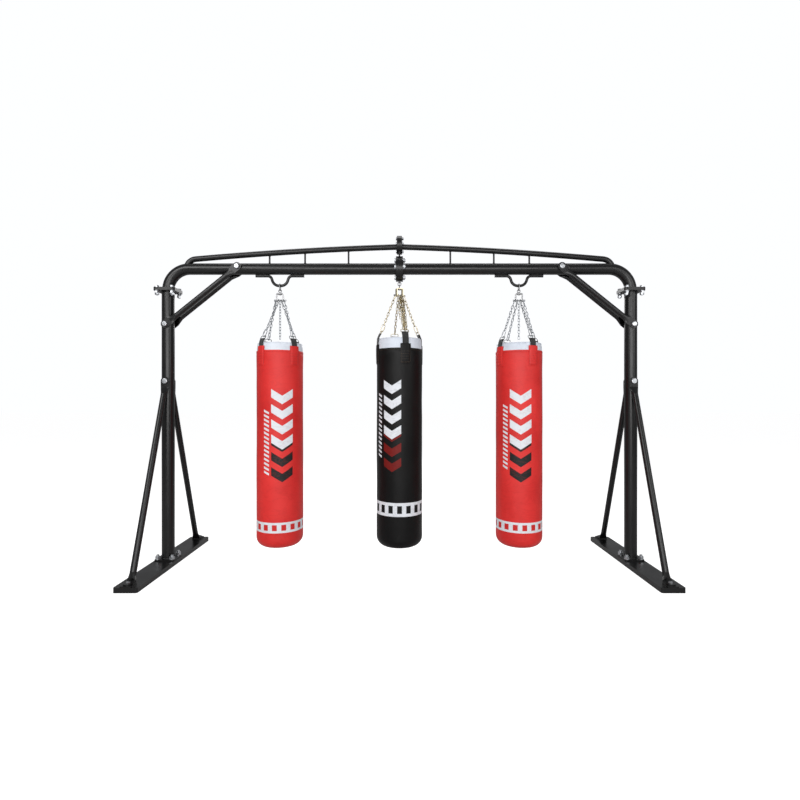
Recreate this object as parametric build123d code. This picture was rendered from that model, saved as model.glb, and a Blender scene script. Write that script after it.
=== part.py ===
from build123d import *
import math
import os

# Gantry stand for three hanging punching bags. Millimetres, +Z up, +X to the right, +Y to the
# back. The origin is on the floor, under the middle of the frame.

# ---- overall layout ----
POST_SPACING = 3328.0       # between the two post axes
BEAM_HEIGHT = 2113.0        # beam axis above the floor
BAG_PITCH = 859.0           # middle bag to a side bag
CONTACT_GAP = 0.3           # between curved faces that only rest on each other
BOLT_PLAY = 0.5             # hole diameter minus bolt diameter

# ---- base plates ----
BASE_WIDTH = 150.0
BASE_LENGTH = 1100.0
BASE_THICKNESS = 32.0
BASE_CORNER = 12.0

# ---- posts ----
POST_DIAMETER = 86.0
POST_WALL = 3.0
POST_FOOT_SIDE = 140.0
POST_FOOT_THICKNESS = 10.0
POST_FOOT_CORNER = 15.0
FOOT_BOLT_SPACING = 100.0
FOOT_BOLT_DIAMETER = 20.0
FOOT_BOLT_DEPTH = 22.0      # drilled depth in the base plate
FOOT_BOLT_THREAD = 20.0     # bolt length in that hole
FOOT_STUD_RISE = 12.0       # stud above its nut

# ---- joint between a post and its beam half ----
ELBOW_RADIUS = 155.0        # beam bend, on the tube axis
JOINT_PLATE_SIDE = 150.0
JOINT_PLATE_THICKNESS = 11.0
JOINT_PLATE_CORNER = 18.0
JOINT_BOLT_SPACING = 108.0
JOINT_BOLT_DIAMETER = 16.0

# ---- beam halves ----
BEAM_DIAMETER = 80.0
BEAM_WALL = 3.0

# ---- upper rail ----
RAIL_DIAMETER = 40.0
RAIL_WALL = 2.5
RAIL_MIDDLE_RISE = 159.0    # rail axis above beam axis, at the middle
RAIL_FALL = 87.0            # how much lower it is where its end bend starts
RAIL_BEND_START = 1465.0    # distance from the middle
RAIL_BEND_RADIUS = 75.0
RAIL_BEND_TURN = 68.0       # degrees
RAIL_ARCH_RISE = 11.0       # crown of the long arch over its chord
RAIL_TAIL = 34.0            # straight end that meets the elbow
STRUT_DIAMETER = 13.0
STRUT_PLACES = (366.0, 679.0, 934.0)

# ---- flanges in the middle ----
CENTRE_PLATE_THICKNESS = 12.0
BEAM_FLANGE_DIAMETER = 178.0
BEAM_FLANGE_THICKNESS = 19.0
BEAM_FLANGE_BOLT_CIRCLE = 124.0
BEAM_FLANGE_BOLT = 18.0
RAIL_FLANGE_DIAMETER = 130.0
RAIL_FLANGE_THICKNESS = 12.5
RAIL_FLANGE_RISE = 171.0    # flange axis above beam axis
RAIL_FLANGE_BOLT_CIRCLE = 94.0
RAIL_FLANGE_BOLT = 12.0
CENTRE_NECK_WIDTH = 70.0

# ---- bar hangers under the beam ----
HANGER_BAR = 20.0
HANGER_LENGTH = 350.0
HANGER_MOUTH = 132.0        # across the bar axes at the feet
HANGER_FLOOR = 88.0         # across the bar axes at the bottom
HANGER_DROP = 70.0          # feet axis to bottom axis
HANGER_SHOULDER = 30.0
HANGER_BOTTOM = 50.0

# ---- diagonal corner braces, one in front and one behind ----
CORNER_BRACE_TUBE = 36.0
CORNER_BRACE_INSET = 8.0    # tube axis, nearer to the frame's middle than its flat ends
CORNER_BRACE_WALL = 2.5
CORNER_BRACE_POST_HEIGHT = 1711.0
CORNER_BRACE_BEAM_PLACE = 1154.0
CORNER_BRACE_BEAM_RISE = 8.0    # bolt above the beam axis
BRACE_LUG_WIDTH = 58.0
BRACE_LUG_THICKNESS = 8.0
LUG_NECK = 42.0             # flat length beyond the bolt
LUG_TAPER = 55.0            # flat to round
BRACE_BOLT = 14.0
CAP_DIAMETER = 38.0         # domed cap on each through-bolt
CORNER_CAP_HEIGHT = 14.0

# ---- base braces, one in front and one behind each post ----
BASE_BRACE_TUBE = 40.0
BASE_BRACE_WALL = 2.5
BASE_BRACE_TOP = 1306.0
BASE_BRACE_REACH = 512.0    # foot bolt from the post axis
BASE_BRACE_CAP_HEIGHT = 10.0
FOOT_PAD_WIDTH = 75.0
FOOT_PAD_LENGTH = 72.0
FOOT_PAD_THICKNESS = 8.0
FOOT_TAB_LENGTH = 38.0      # foot bolt to the start of the flat
VENT_DIAMETER = 6.0

# ---- bags ----
BAG_DIAMETER = 328.0
BAG_BOTTOM = {"left": 138.0, "middle": 135.0, "right": 138.0}
COVER_TOP = {"left": 1517.0, "middle": 1532.0, "right": 1517.0}
COLLAR_TOP = {"left": 1573.0, "middle": 1606.0, "right": 1573.0}
COVER_WALL = 3.0
BAG_EDGE_RADIUS = 66.0
COLLAR_TAPER = 5.0          # how far the collar leans in
COLLAR_TUCK = 16.0          # length held inside the cover
COLLAR_WALL = 3.0
LID_DEPTH = 14.0            # lid below the collar's rim
STRAP_TURN = {"left": -39.0, "middle": 15.5, "right": -67.0}
STRAP_COUNT = 4
WEBBING_WIDTH = 45.0
WEBBING_THICKNESS = 2.5
PATCH_WIDTH = 75.0
PATCH_HEIGHT = 139.0
PATCH_THICKNESS = 2.0
PATCH_STAND_UP = 30.0       # patch above the cover's rim
LOOP_REACH = {"left": 24.0, "middle": 36.0, "right": 24.0}
RING_WIRE = 5.0
RING_WIDTH = 50.0           # inside, along the webbing
RING_HEIGHT = 24.0          # bar axis to bow axis
RING_BAR_CORNER = 4.5
RING_BOW_CORNER = 11.0

# ---- hanging hardware ----
SHACKLE_WIRE = 6.0
SIDE_SHACKLE = (43.0, 26.0)     # inside length and width, around the hanger bar
MIDDLE_SHACKLE = (20.0, 16.0)   # inside length and width, in the eye bolt
EYE_WIRE = 6.0
EYE_RADIUS = 10.0           # wire axis
CROSS_BOLT_GAP = 0.8        # a tilted link over the cross bolt
EYE_BOLT_WIRE = 7.0
EYE_BOLT_RADIUS = 7.5       # wire axis
EYE_BOLT_DROP = 12.0        # lowest wire axis under the flange
EYE_BOLT_ROOM = 1.5         # notch around the ring
EYE_BOLT_THREAD = 8.5
YOKE_WIDTH = 52.0
YOKE_DEPTH = 28.0
YOKE_HEIGHT = 62.0
YOKE_THICKNESS = 6.0
YOKE_TURN = {"left": 0.0, "middle": 24.0, "right": 0.0}
YOKE_CORNER = 9.0
YOKE_DROP = 2.0             # yoke's top under the swivel's ring
SWIVEL_SHANK = 10.0
SWIVEL_PLAY = 0.1           # shank to hole, radial
SWIVEL_HEAD = 20.0
SWIVEL_HEAD_HEIGHT = 6.0
CROSS_BOLT = 8.0
CROSS_BOLT_RISE = 10.0      # above the yoke's lower end
CROSS_BOLT_SPARE = 4.0      # from an outer link to the bolt's head or nut
CHAIN_PLACES = (-31.0, -9.5, 9.5, 31.0)
TOP_LINK = (48.0, 17.0, 5.0)        # inside length, inside width, wire
MID_LINK = (22.0, 9.0, 4.5)
QUICK_LINK = (50.0, 15.0, 5.0)
QUICK_LINK_SLEEVE = (13.0, 1.6)     # length, and wall over the wire
LINK_PLAY = 0.35

# ---- threads and heads ----
HEAD_ACROSS = 1.6           # head size over bolt diameter
HEAD_HEIGHT = 0.6
NUT_HEIGHT = 0.8
BOLT_TIP = 0.25             # thread that shows beyond the nut
WASHER_DIAMETER = 35.0
WASHER_THICKNESS = 4.0
LOCK_NUT_TURN = 20.0        # degrees from the nut above it
CAP_ROUNDING = 0.45         # of a domed cap's height

SIDES = {"left": -1, "right": 1}
BAG_PLACE = {"left": -BAG_PITCH, "middle": 0.0, "right": BAG_PITCH}
POST_X = POST_SPACING / 2
POST_RADIUS = POST_DIAMETER / 2
BEAM_RADIUS = BEAM_DIAMETER / 2
JOINT_HEIGHT = BEAM_HEIGHT - ELBOW_RADIUS
POST_FOOT_TOP = BASE_THICKNESS + POST_FOOT_THICKNESS
POST_TOP = JOINT_HEIGHT - JOINT_PLATE_THICKNESS
STACK_HALF = CENTRE_PLATE_THICKNESS / 2 + BEAM_FLANGE_THICKNESS
RAIL_STACK_HALF = CENTRE_PLATE_THICKNESS / 2 + RAIL_FLANGE_THICKNESS
HANGER_FEET_HEIGHT = BEAM_HEIGHT - BEAM_RADIUS - HANGER_BAR / 2
HANGER_BAR_HEIGHT = HANGER_FEET_HEIGHT - HANGER_DROP
FLANGE_BOTTOM = BEAM_HEIGHT - BEAM_FLANGE_DIAMETER / 2
CORNER_BRACE_BEAM_HEIGHT = BEAM_HEIGHT + CORNER_BRACE_BEAM_RISE

nodes = {}


def add(name, *solids):
    """Keep a node as a group of separate solids."""
    nodes[name] = Compound(children=[part for solid in solids for part in solid.solids()])


def cylinder(start, end, radius):
    """A round bar between two points."""
    start, end = Vector(*start), Vector(*end)
    run = end - start
    return Plane(origin=start, z_dir=run) * Cylinder(
        radius, run.length, align=(Align.CENTER, Align.CENTER, Align.MIN))


def hexagon(start, end, across_flats, turn=0.0):
    """A hexagonal prism between two points."""
    start, end = Vector(*start), Vector(*end)
    run = end - start
    outline = Rot(0, 0, turn) * RegularPolygon(across_flats / 2, 6, major_radius=False)
    return extrude(Plane(origin=start, z_dir=run) * outline, run.length)


def domed_cap(base, tip, diameter):
    """A round cap with a crowned outer face."""
    cap = cylinder(base, tip, diameter / 2)
    height = (Vector(*tip) - Vector(*base)).length
    rim = cap.edges().filter_by(GeomType.CIRCLE).sort_by_distance(Vector(*tip))[0]
    return fillet(rim, CAP_ROUNDING * height)


def bolt(head_face, nut_face, diameter):
    """A hexagon bolt and its nut, clamping from one face to the other."""
    head_face, nut_face = Vector(*head_face), Vector(*nut_face)
    along = (nut_face - head_face).normalized()
    head = hexagon(head_face - along * HEAD_HEIGHT * diameter, head_face, HEAD_ACROSS * diameter)
    shank = cylinder(head_face, nut_face + along * (NUT_HEIGHT + BOLT_TIP) * diameter, diameter / 2)
    nut = hexagon(nut_face, nut_face + along * NUT_HEIGHT * diameter, HEAD_ACROSS * diameter)
    return (head + shank) + nut


def rounded_plate(side_x, side_y, thickness, corner, bottom):
    """A flat plate with rounded corners, centred on the Z axis."""
    outline = RectangleRounded(side_x, side_y, corner)
    return Pos(0, 0, bottom) * extrude(outline, thickness)


def square_places(spacing):
    return [(x, y) for x in (-spacing / 2, spacing / 2) for y in (-spacing / 2, spacing / 2)]


def section_at_start(path):
    return Plane(origin=path @ 0, z_dir=path % 0)


def tube_along(path, diameter, wall):
    """A hollow tube along a path, with open ends."""
    start = section_at_start(path)
    return sweep(start * (Circle(diameter / 2) - Circle(diameter / 2 - wall)), path)


def rod_along(path, diameter):
    return sweep(section_at_start(path) * Circle(diameter / 2), path)


def oval_link(inside_length, inside_width, wire):
    """A closed link in the XZ plane, its length along Z, centred on the origin."""
    bend = (inside_width + wire) / 2
    straight = inside_length - inside_width
    half_ring = Rot(90, 0, 0) * Torus(bend, wire / 2)
    keep = Pos(0, 0, bend + wire) * Box(4 * bend, 4 * wire, 2 * (bend + wire))
    top = half_ring & keep
    bottom = Rot(180, 0, 0) * top
    sides = [Pos(x, 0, 0) * Cylinder(wire / 2, straight) for x in (-bend, bend)]
    return Pos(0, 0, straight / 2) * top + Pos(0, 0, -straight / 2) * bottom + sides


# ---- base plates, posts and what bolts them down ----

def base_plate():
    plate = rounded_plate(BASE_WIDTH, BASE_LENGTH, BASE_THICKNESS, BASE_CORNER, 0)
    holes = [Pos(x, y, BASE_THICKNESS - FOOT_BOLT_DEPTH / 2) * Cylinder(
        (FOOT_BOLT_DIAMETER + BOLT_PLAY) / 2, FOOT_BOLT_DEPTH)
        for x, y in square_places(FOOT_BOLT_SPACING)]
    holes += [Pos(0, y, BASE_THICKNESS - FOOT_BOLT_DEPTH / 2) * Cylinder(
        (BRACE_BOLT + BOLT_PLAY) / 2, FOOT_BOLT_DEPTH)
        for y in (-BASE_BRACE_REACH, BASE_BRACE_REACH)]
    return plate - holes


def through_hole(height, diameter, reach):
    """A drill along Y, used for the through-bolts."""
    return Pos(0, 0, height) * Rot(90, 0, 0) * Cylinder((diameter + BOLT_PLAY) / 2, reach)


def post():
    foot = rounded_plate(POST_FOOT_SIDE, POST_FOOT_SIDE, POST_FOOT_THICKNESS,
                         POST_FOOT_CORNER, BASE_THICKNESS)
    head = rounded_plate(JOINT_PLATE_SIDE, JOINT_PLATE_SIDE, JOINT_PLATE_THICKNESS,
                         JOINT_PLATE_CORNER, POST_TOP)
    tube = cylinder((0, 0, BASE_THICKNESS), (0, 0, JOINT_HEIGHT), POST_RADIUS)
    bore = cylinder((0, 0, 0), (0, 0, BEAM_HEIGHT), POST_RADIUS - POST_WALL)
    holes = [Pos(x, y, BASE_THICKNESS) * Cylinder(
        (FOOT_BOLT_DIAMETER + BOLT_PLAY) / 2, 4 * POST_FOOT_THICKNESS)
        for x, y in square_places(FOOT_BOLT_SPACING)]
    holes += [Pos(x, y, JOINT_HEIGHT) * Cylinder(
        (JOINT_BOLT_DIAMETER + BOLT_PLAY) / 2, 4 * JOINT_PLATE_THICKNESS)
        for x, y in square_places(JOINT_BOLT_SPACING)]
    holes += [through_hole(height, BRACE_BOLT, 2 * POST_DIAMETER)
              for height in (BASE_BRACE_TOP, CORNER_BRACE_POST_HEIGHT)]
    return foot + head + tube - bore - holes


def foot_stud(x, y):
    """A stud screwed into the base plate, with a washer and a nut on the post's foot."""
    seat = POST_FOOT_TOP + WASHER_THICKNESS
    nut_top = seat + NUT_HEIGHT * FOOT_BOLT_DIAMETER
    stud = cylinder((x, y, BASE_THICKNESS - FOOT_BOLT_THREAD), (x, y, nut_top + FOOT_STUD_RISE),
                    FOOT_BOLT_DIAMETER / 2)
    washer = cylinder((x, y, POST_FOOT_TOP), (x, y, seat), WASHER_DIAMETER / 2)
    return stud + washer + hexagon((x, y, seat), (x, y, nut_top), HEAD_ACROSS * FOOT_BOLT_DIAMETER)


def joint_bolt(x, y):
    """A bolt down through both joint plates, with washers, a nut and a lock nut under it."""
    high = JOINT_HEIGHT + JOINT_PLATE_THICKNESS + WASHER_THICKNESS
    low = POST_TOP - WASHER_THICKNESS
    nut_end = low - NUT_HEIGHT * JOINT_BOLT_DIAMETER
    lock_end = nut_end - NUT_HEIGHT * JOINT_BOLT_DIAMETER
    lock = hexagon((x, y, nut_end), (x, y, lock_end), HEAD_ACROSS * JOINT_BOLT_DIAMETER,
                   LOCK_NUT_TURN)
    tip = cylinder((x, y, nut_end), (x, y, lock_end - BOLT_TIP * JOINT_BOLT_DIAMETER),
                   JOINT_BOLT_DIAMETER / 2)
    washers = [cylinder((x, y, face), (x, y, face + WASHER_THICKNESS), WASHER_DIAMETER / 2)
               for face in (low, high - WASHER_THICKNESS)]
    return bolt((x, y, high), (x, y, low), JOINT_BOLT_DIAMETER) + lock + tip + washers


# ---- tubes with flattened, bolted ends ----

def lug(neck_length):
    """A rounded flat end in the XZ plane: bolt at the origin, its neck running along +X."""
    flat = Rot(90, 0, 0) * Cylinder(BRACE_LUG_WIDTH / 2, BRACE_LUG_THICKNESS)
    neck = Pos(neck_length / 2, 0, 0) * Box(neck_length, BRACE_LUG_THICKNESS, BRACE_LUG_WIDTH)
    drill = Rot(90, 0, 0) * Cylinder((BRACE_BOLT + BOLT_PLAY) / 2, 2 * BRACE_LUG_THICKNESS)
    return flat + neck - drill


def flat_to_round(flat_plane, round_plane, diameter):
    """The taper between a lug and its tube. Both planes have their X across the lug's thickness."""
    return loft([flat_plane * Rectangle(BRACE_LUG_THICKNESS, BRACE_LUG_WIDTH),
                 round_plane * Circle(diameter / 2)])


def corner_brace(depth):
    """One diagonal, from the post bolt up to the beam bolt, drawn for the right side."""
    low = Vector(POST_X, depth, CORNER_BRACE_POST_HEIGHT)
    high = Vector(CORNER_BRACE_BEAM_PLACE, depth, CORNER_BRACE_BEAM_HEIGHT)
    run = high - low
    frame = Plane(origin=low, x_dir=run, z_dir=Vector(0, -1, 0).cross(run))
    length = run.length
    near, far = LUG_NECK, LUG_NECK + LUG_TAPER
    inset = -math.copysign(CORNER_BRACE_INSET, depth)
    end = lug(LUG_NECK)
    taper = flat_to_round(Plane(origin=(near, 0, 0), x_dir=(0, 1, 0), z_dir=(1, 0, 0)),
                          Plane(origin=(far, inset, 0), x_dir=(0, 1, 0), z_dir=(1, 0, 0)),
                          CORNER_BRACE_TUBE)
    first, last = (far, inset, 0), (length - far, inset, 0)
    tube = cylinder(first, last, CORNER_BRACE_TUBE / 2)
    bore = cylinder(first, last, CORNER_BRACE_TUBE / 2 - CORNER_BRACE_WALL)
    vent = cylinder((far + VENT_DIAMETER, inset, 0),
                    (far + VENT_DIAMETER, inset, -CORNER_BRACE_TUBE), VENT_DIAMETER / 2)
    turned = Pos(length, 0, 0) * Rot(0, 180, 0)
    return frame * (end + taper + turned * (end + taper) + tube - bore - vent)


def corner_brace_depth():
    reach = max(POST_RADIUS, BEAM_RADIUS)
    return reach + CONTACT_GAP + BRACE_LUG_THICKNESS / 2


def through_bolt(x, height, half_grip, cap_height):
    """A bolt along Y with a domed cap at each end."""
    shank = cylinder((x, -half_grip, height), (x, half_grip, height), BRACE_BOLT / 2)
    front = domed_cap((x, -half_grip, height), (x, -half_grip - cap_height, height), CAP_DIAMETER)
    back = domed_cap((x, half_grip, height), (x, half_grip + cap_height, height), CAP_DIAMETER)
    return shank + front + back


def base_brace():
    """The rear brace of a post at X = 0. Its foot lies flat on its pad."""
    lug_depth = POST_RADIUS + CONTACT_GAP + BRACE_LUG_THICKNESS / 2
    tab_middle = BASE_THICKNESS + FOOT_PAD_THICKNESS + BRACE_LUG_THICKNESS / 2
    bend_top = Vector(0, lug_depth, BASE_BRACE_TOP - LUG_NECK)
    bend_foot = Vector(0, BASE_BRACE_REACH - FOOT_TAB_LENGTH, tab_middle)
    along = (bend_foot - bend_top).normalized()
    taper_top = bend_top + along * LUG_TAPER
    taper_foot = bend_foot - along * LUG_TAPER
    top_end = Pos(0, lug_depth, BASE_BRACE_TOP) * Rot(0, 90, 0) * lug(LUG_NECK)
    foot_end = (Pos(0, BASE_BRACE_REACH, tab_middle) * Rot(0, 0, -90) * Rot(90, 0, 0)
                * lug(FOOT_TAB_LENGTH))
    across = Vector(0, 1, 0)
    down = Vector(0, 0, 1)
    upper = flat_to_round(Plane(origin=bend_top, x_dir=across, z_dir=(0, 0, -1)),
                          Plane(origin=taper_top, x_dir=across, z_dir=along), BASE_BRACE_TUBE)
    lower = flat_to_round(Plane(origin=bend_foot, x_dir=down, z_dir=(0, -1, 0)),
                          Plane(origin=taper_foot, x_dir=down, z_dir=-along), BASE_BRACE_TUBE)
    tube = cylinder(taper_top, taper_foot, BASE_BRACE_TUBE / 2)
    bore = cylinder(taper_top, taper_foot, BASE_BRACE_TUBE / 2 - BASE_BRACE_WALL)
    vent_spot = taper_foot - along * VENT_DIAMETER
    vent = cylinder(vent_spot, (0, vent_spot.Y - BASE_BRACE_TUBE, vent_spot.Z),
                    VENT_DIAMETER / 2)
    return top_end + upper + tube + lower + foot_end - bore - vent


def foot_pad():
    pad = rounded_plate(FOOT_PAD_WIDTH, FOOT_PAD_LENGTH, FOOT_PAD_THICKNESS, BASE_CORNER,
                        BASE_THICKNESS)
    drill = Pos(0, 0, BASE_THICKNESS) * Cylinder(
        (BRACE_BOLT + BOLT_PLAY) / 2, 4 * FOOT_PAD_THICKNESS)
    return Pos(0, BASE_BRACE_REACH, 0) * (pad - drill)


def brace_foot_bolt():
    seat = BASE_THICKNESS + FOOT_PAD_THICKNESS + BRACE_LUG_THICKNESS
    tip = BASE_THICKNESS - FOOT_BOLT_THREAD
    head = hexagon((0, BASE_BRACE_REACH, seat),
                   (0, BASE_BRACE_REACH, seat + HEAD_HEIGHT * BRACE_BOLT),
                   HEAD_ACROSS * BRACE_BOLT)
    return head + cylinder((0, BASE_BRACE_REACH, tip), (0, BASE_BRACE_REACH, seat), BRACE_BOLT / 2)


# ---- beam, rail and middle flanges, drawn for the right side ----

def beam_path():
    bend = JernArc((POST_X, JOINT_HEIGHT), (0, 1), ELBOW_RADIUS, 90)
    run = Line(bend @ 1, (STACK_HALF, BEAM_HEIGHT))
    return Plane.XZ * Wire([bend.edge(), run.edge()])


def beam_outer():
    """The space that a beam half's tube fills, taken out of what is welded to it."""
    return rod_along(beam_path(), BEAM_DIAMETER)


def beam():
    tube = tube_along(beam_path(), BEAM_DIAMETER, BEAM_WALL)
    inside = BEAM_RADIUS - BEAM_WALL
    foot = Pos(POST_X, 0, 0) * rounded_plate(
        JOINT_PLATE_SIDE, JOINT_PLATE_SIDE, JOINT_PLATE_THICKNESS, JOINT_PLATE_CORNER, JOINT_HEIGHT)
    foot -= Pos(POST_X, 0, JOINT_HEIGHT) * Cylinder(BEAM_RADIUS - BEAM_WALL / 2,
                                                    4 * JOINT_PLATE_THICKNESS)
    foot -= [Pos(POST_X + x, y, JOINT_HEIGHT) * Cylinder(
        (JOINT_BOLT_DIAMETER + BOLT_PLAY) / 2, 4 * JOINT_PLATE_THICKNESS)
        for x, y in square_places(JOINT_BOLT_SPACING)]
    flange = cylinder((CENTRE_PLATE_THICKNESS / 2, 0, BEAM_HEIGHT), (STACK_HALF, 0, BEAM_HEIGHT),
                      BEAM_FLANGE_DIAMETER / 2)
    flange -= cylinder((0, 0, BEAM_HEIGHT), (2 * STACK_HALF, 0, BEAM_HEIGHT), inside)
    flange -= circle_drills(BEAM_HEIGHT, BEAM_FLANGE_BOLT_CIRCLE, BEAM_FLANGE_BOLT)
    bolt_drill = Pos(CORNER_BRACE_BEAM_PLACE, 0, 0) * through_hole(
        CORNER_BRACE_BEAM_HEIGHT, BRACE_BOLT, 2 * BEAM_DIAMETER)
    return tube + foot + flange - bolt_drill


def circle_drills(height, bolt_circle, diameter):
    return [cylinder((-2 * STACK_HALF, y, z), (2 * STACK_HALF, y, z), (diameter + BOLT_PLAY) / 2)
            for y, z in circle_places(height, bolt_circle)]


def circle_places(height, bolt_circle):
    reach = bolt_circle / 2
    return [(0, height + reach), (0, height - reach), (reach, height), (-reach, height)]


def rail_path():
    """From inside its flange, along the low arch, and down into the elbow."""
    start = ((CENTRE_PLATE_THICKNESS + RAIL_FLANGE_THICKNESS) / 2, BEAM_HEIGHT + RAIL_MIDDLE_RISE)
    end = (RAIL_BEND_START, BEAM_HEIGHT + RAIL_MIDDLE_RISE - RAIL_FALL)
    crown = ((start[0] + end[0]) / 2, (start[1] + end[1]) / 2 + RAIL_ARCH_RISE)
    arch = ThreePointArc(start, crown, end)
    bend = JernArc(arch @ 1, arch % 1, RAIL_BEND_RADIUS, -RAIL_BEND_TURN)
    tail = Line(bend @ 1, (bend @ 1) + (bend % 1) * RAIL_TAIL)
    return Plane.XZ * Wire([arch.edge(), bend.edge(), tail.edge()])


def rail_outer():
    return rod_along(rail_path(), RAIL_DIAMETER)


def rail(beam_space):
    tube = tube_along(rail_path(), RAIL_DIAMETER, RAIL_WALL)
    tube = (tube - beam_space).solids().sort_by(SortBy.VOLUME)[-1]
    height = BEAM_HEIGHT + RAIL_FLANGE_RISE
    flange = cylinder((CENTRE_PLATE_THICKNESS / 2, 0, height), (RAIL_STACK_HALF, 0, height),
                      RAIL_FLANGE_DIAMETER / 2)
    flange -= circle_drills(height, RAIL_FLANGE_BOLT_CIRCLE, RAIL_FLANGE_BOLT)
    return tube + flange


def strut(place, beam_space, rail_space):
    """A short rod between the two tubes: the longest piece of one that runs through both."""
    rod = cylinder((place, 0, BEAM_HEIGHT), (place, 0, BEAM_HEIGHT + RAIL_MIDDLE_RISE),
                   STRUT_DIAMETER / 2)
    pieces = (rod - beam_space - rail_space).solids()
    return max(pieces, key=lambda piece: piece.volume)


def centre_plate():
    """One plate between the flanges, with a neck between its two round parts."""
    half = CENTRE_PLATE_THICKNESS / 2
    rail_height = BEAM_HEIGHT + RAIL_FLANGE_RISE
    plate = cylinder((-half, 0, BEAM_HEIGHT), (half, 0, BEAM_HEIGHT), BEAM_FLANGE_DIAMETER / 2)
    plate += cylinder((-half, 0, rail_height), (half, 0, rail_height), RAIL_FLANGE_DIAMETER / 2)
    plate += Pos(0, 0, (BEAM_HEIGHT + rail_height) / 2) * Box(
        CENTRE_PLATE_THICKNESS, CENTRE_NECK_WIDTH, RAIL_FLANGE_RISE)
    plate -= circle_drills(BEAM_HEIGHT, BEAM_FLANGE_BOLT_CIRCLE, BEAM_FLANGE_BOLT)
    plate -= circle_drills(rail_height, RAIL_FLANGE_BOLT_CIRCLE, RAIL_FLANGE_BOLT)
    return plate - eye_bolt_room()


def eye_bolt_room():
    """The notch and tapped hole that the eye bolt takes in the middle plate."""
    reach = EYE_BOLT_RADIUS + EYE_BOLT_WIRE / 2 + EYE_BOLT_ROOM
    centre = FLANGE_BOTTOM - EYE_BOLT_DROP + EYE_BOLT_RADIUS
    notch = cylinder((-CENTRE_PLATE_THICKNESS, 0, centre), (CENTRE_PLATE_THICKNESS, 0, centre),
                     reach)
    return notch + cylinder((0, 0, centre), (0, 0, centre + reach + EYE_BOLT_THREAD),
                            EYE_BOLT_WIRE / 2)


def eye_bolt():
    """A ring in line with the middle plate, on a shank screwed up into it."""
    centre = FLANGE_BOTTOM - EYE_BOLT_DROP + EYE_BOLT_RADIUS
    ring = Pos(0, 0, centre) * Rot(0, 90, 0) * Torus(EYE_BOLT_RADIUS, EYE_BOLT_WIRE / 2)
    top = centre + EYE_BOLT_RADIUS + EYE_BOLT_WIRE / 2 + EYE_BOLT_ROOM + EYE_BOLT_THREAD
    return ring + cylinder((0, 0, centre + EYE_BOLT_RADIUS), (0, 0, top), EYE_BOLT_WIRE / 2)


def centre_bolts():
    rail_height = BEAM_HEIGHT + RAIL_FLANGE_RISE
    bolts = [bolt((-STACK_HALF, y, z), (STACK_HALF, y, z), BEAM_FLANGE_BOLT)
             for y, z in circle_places(BEAM_HEIGHT, BEAM_FLANGE_BOLT_CIRCLE)]
    bolts += [bolt((-RAIL_STACK_HALF, y, z), (RAIL_STACK_HALF, y, z), RAIL_FLANGE_BOLT)
              for y, z in circle_places(rail_height, RAIL_FLANGE_BOLT_CIRCLE)]
    return bolts


def hanger():
    """A round bar bent to a U, its two feet along the underside of the beam."""
    feet, low = HANGER_FEET_HEIGHT, HANGER_BAR_HEIGHT
    half, mouth, base = HANGER_LENGTH / 2, HANGER_MOUTH / 2, HANGER_FLOOR / 2
    corners = [(-half, feet), (-mouth, feet), (-base, low), (base, low), (mouth, feet), (half, feet)]
    line = FilletPolyline(*corners, radius=[HANGER_SHOULDER, HANGER_BOTTOM, HANGER_BOTTOM,
                                            HANGER_SHOULDER])
    return rod_along(Plane.XZ * Wire(line.edges()), HANGER_BAR)


# ---- heights of one bag's hardware ----

def hardware(name):
    """Where one bag's shackle, swivel and yoke sit, from the support downwards."""
    middle = name == "middle"
    wire = SHACKLE_WIRE
    if middle:
        length, width = MIDDLE_SHACKLE
        support = FLANGE_BOTTOM - EYE_BOLT_DROP
        inner_top = support + EYE_BOLT_WIRE / 2 + CONTACT_GAP
        swing = inner_top + wire / 2
        shackle_low = swing - length - wire
    else:
        length, width = SIDE_SHACKLE
        swing = HANGER_BAR_HEIGHT
        inner_top = swing + HANGER_BAR / 2 + CONTACT_GAP
        shackle_low = inner_top - length - wire / 2
    eye_top = shackle_low + wire / 2 + CONTACT_GAP + EYE_WIRE / 2
    yoke_top = eye_top - 2 * EYE_RADIUS - EYE_WIRE / 2 - YOKE_DROP
    return {
        "middle": middle,
        "place": BAG_PLACE[name],
        "length": length,
        "width": width,
        "swing": swing,
        "shackle_low": shackle_low,
        "tilt": eye_top if middle else shackle_low,
        "eye_top": eye_top,
        "yoke_top": yoke_top,
        "cross": yoke_top - YOKE_HEIGHT + CROSS_BOLT_RISE,
    }


def shackle(at):
    """The closed link that hangs on the support and carries the swivel's eye."""
    centre = at["shackle_low"] + (at["length"] + SHACKLE_WIRE) / 2
    turn = 0 if at["middle"] else 90
    link = oval_link(at["length"], at["width"], SHACKLE_WIRE)
    return Pos(at["place"], 0, centre) * Rot(0, 0, turn) * link


def swivel_eye(at):
    """A ring over a vertical shank, whose head holds the yoke up."""
    turn = 90 if at["middle"] else 0
    centre = at["eye_top"] - EYE_RADIUS
    ring = Pos(0, 0, centre) * Rot(90, 0, 0) * Torus(EYE_RADIUS, EYE_WIRE / 2)
    under = at["yoke_top"] - YOKE_THICKNESS - CONTACT_GAP
    shank = cylinder((0, 0, under), (0, 0, centre - EYE_RADIUS), SWIVEL_SHANK / 2)
    head = cylinder((0, 0, under - SWIVEL_HEAD_HEIGHT), (0, 0, under), SWIVEL_HEAD / 2)
    return Pos(at["place"], 0, 0) * Rot(0, 0, turn) * (ring + shank + head)


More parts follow.
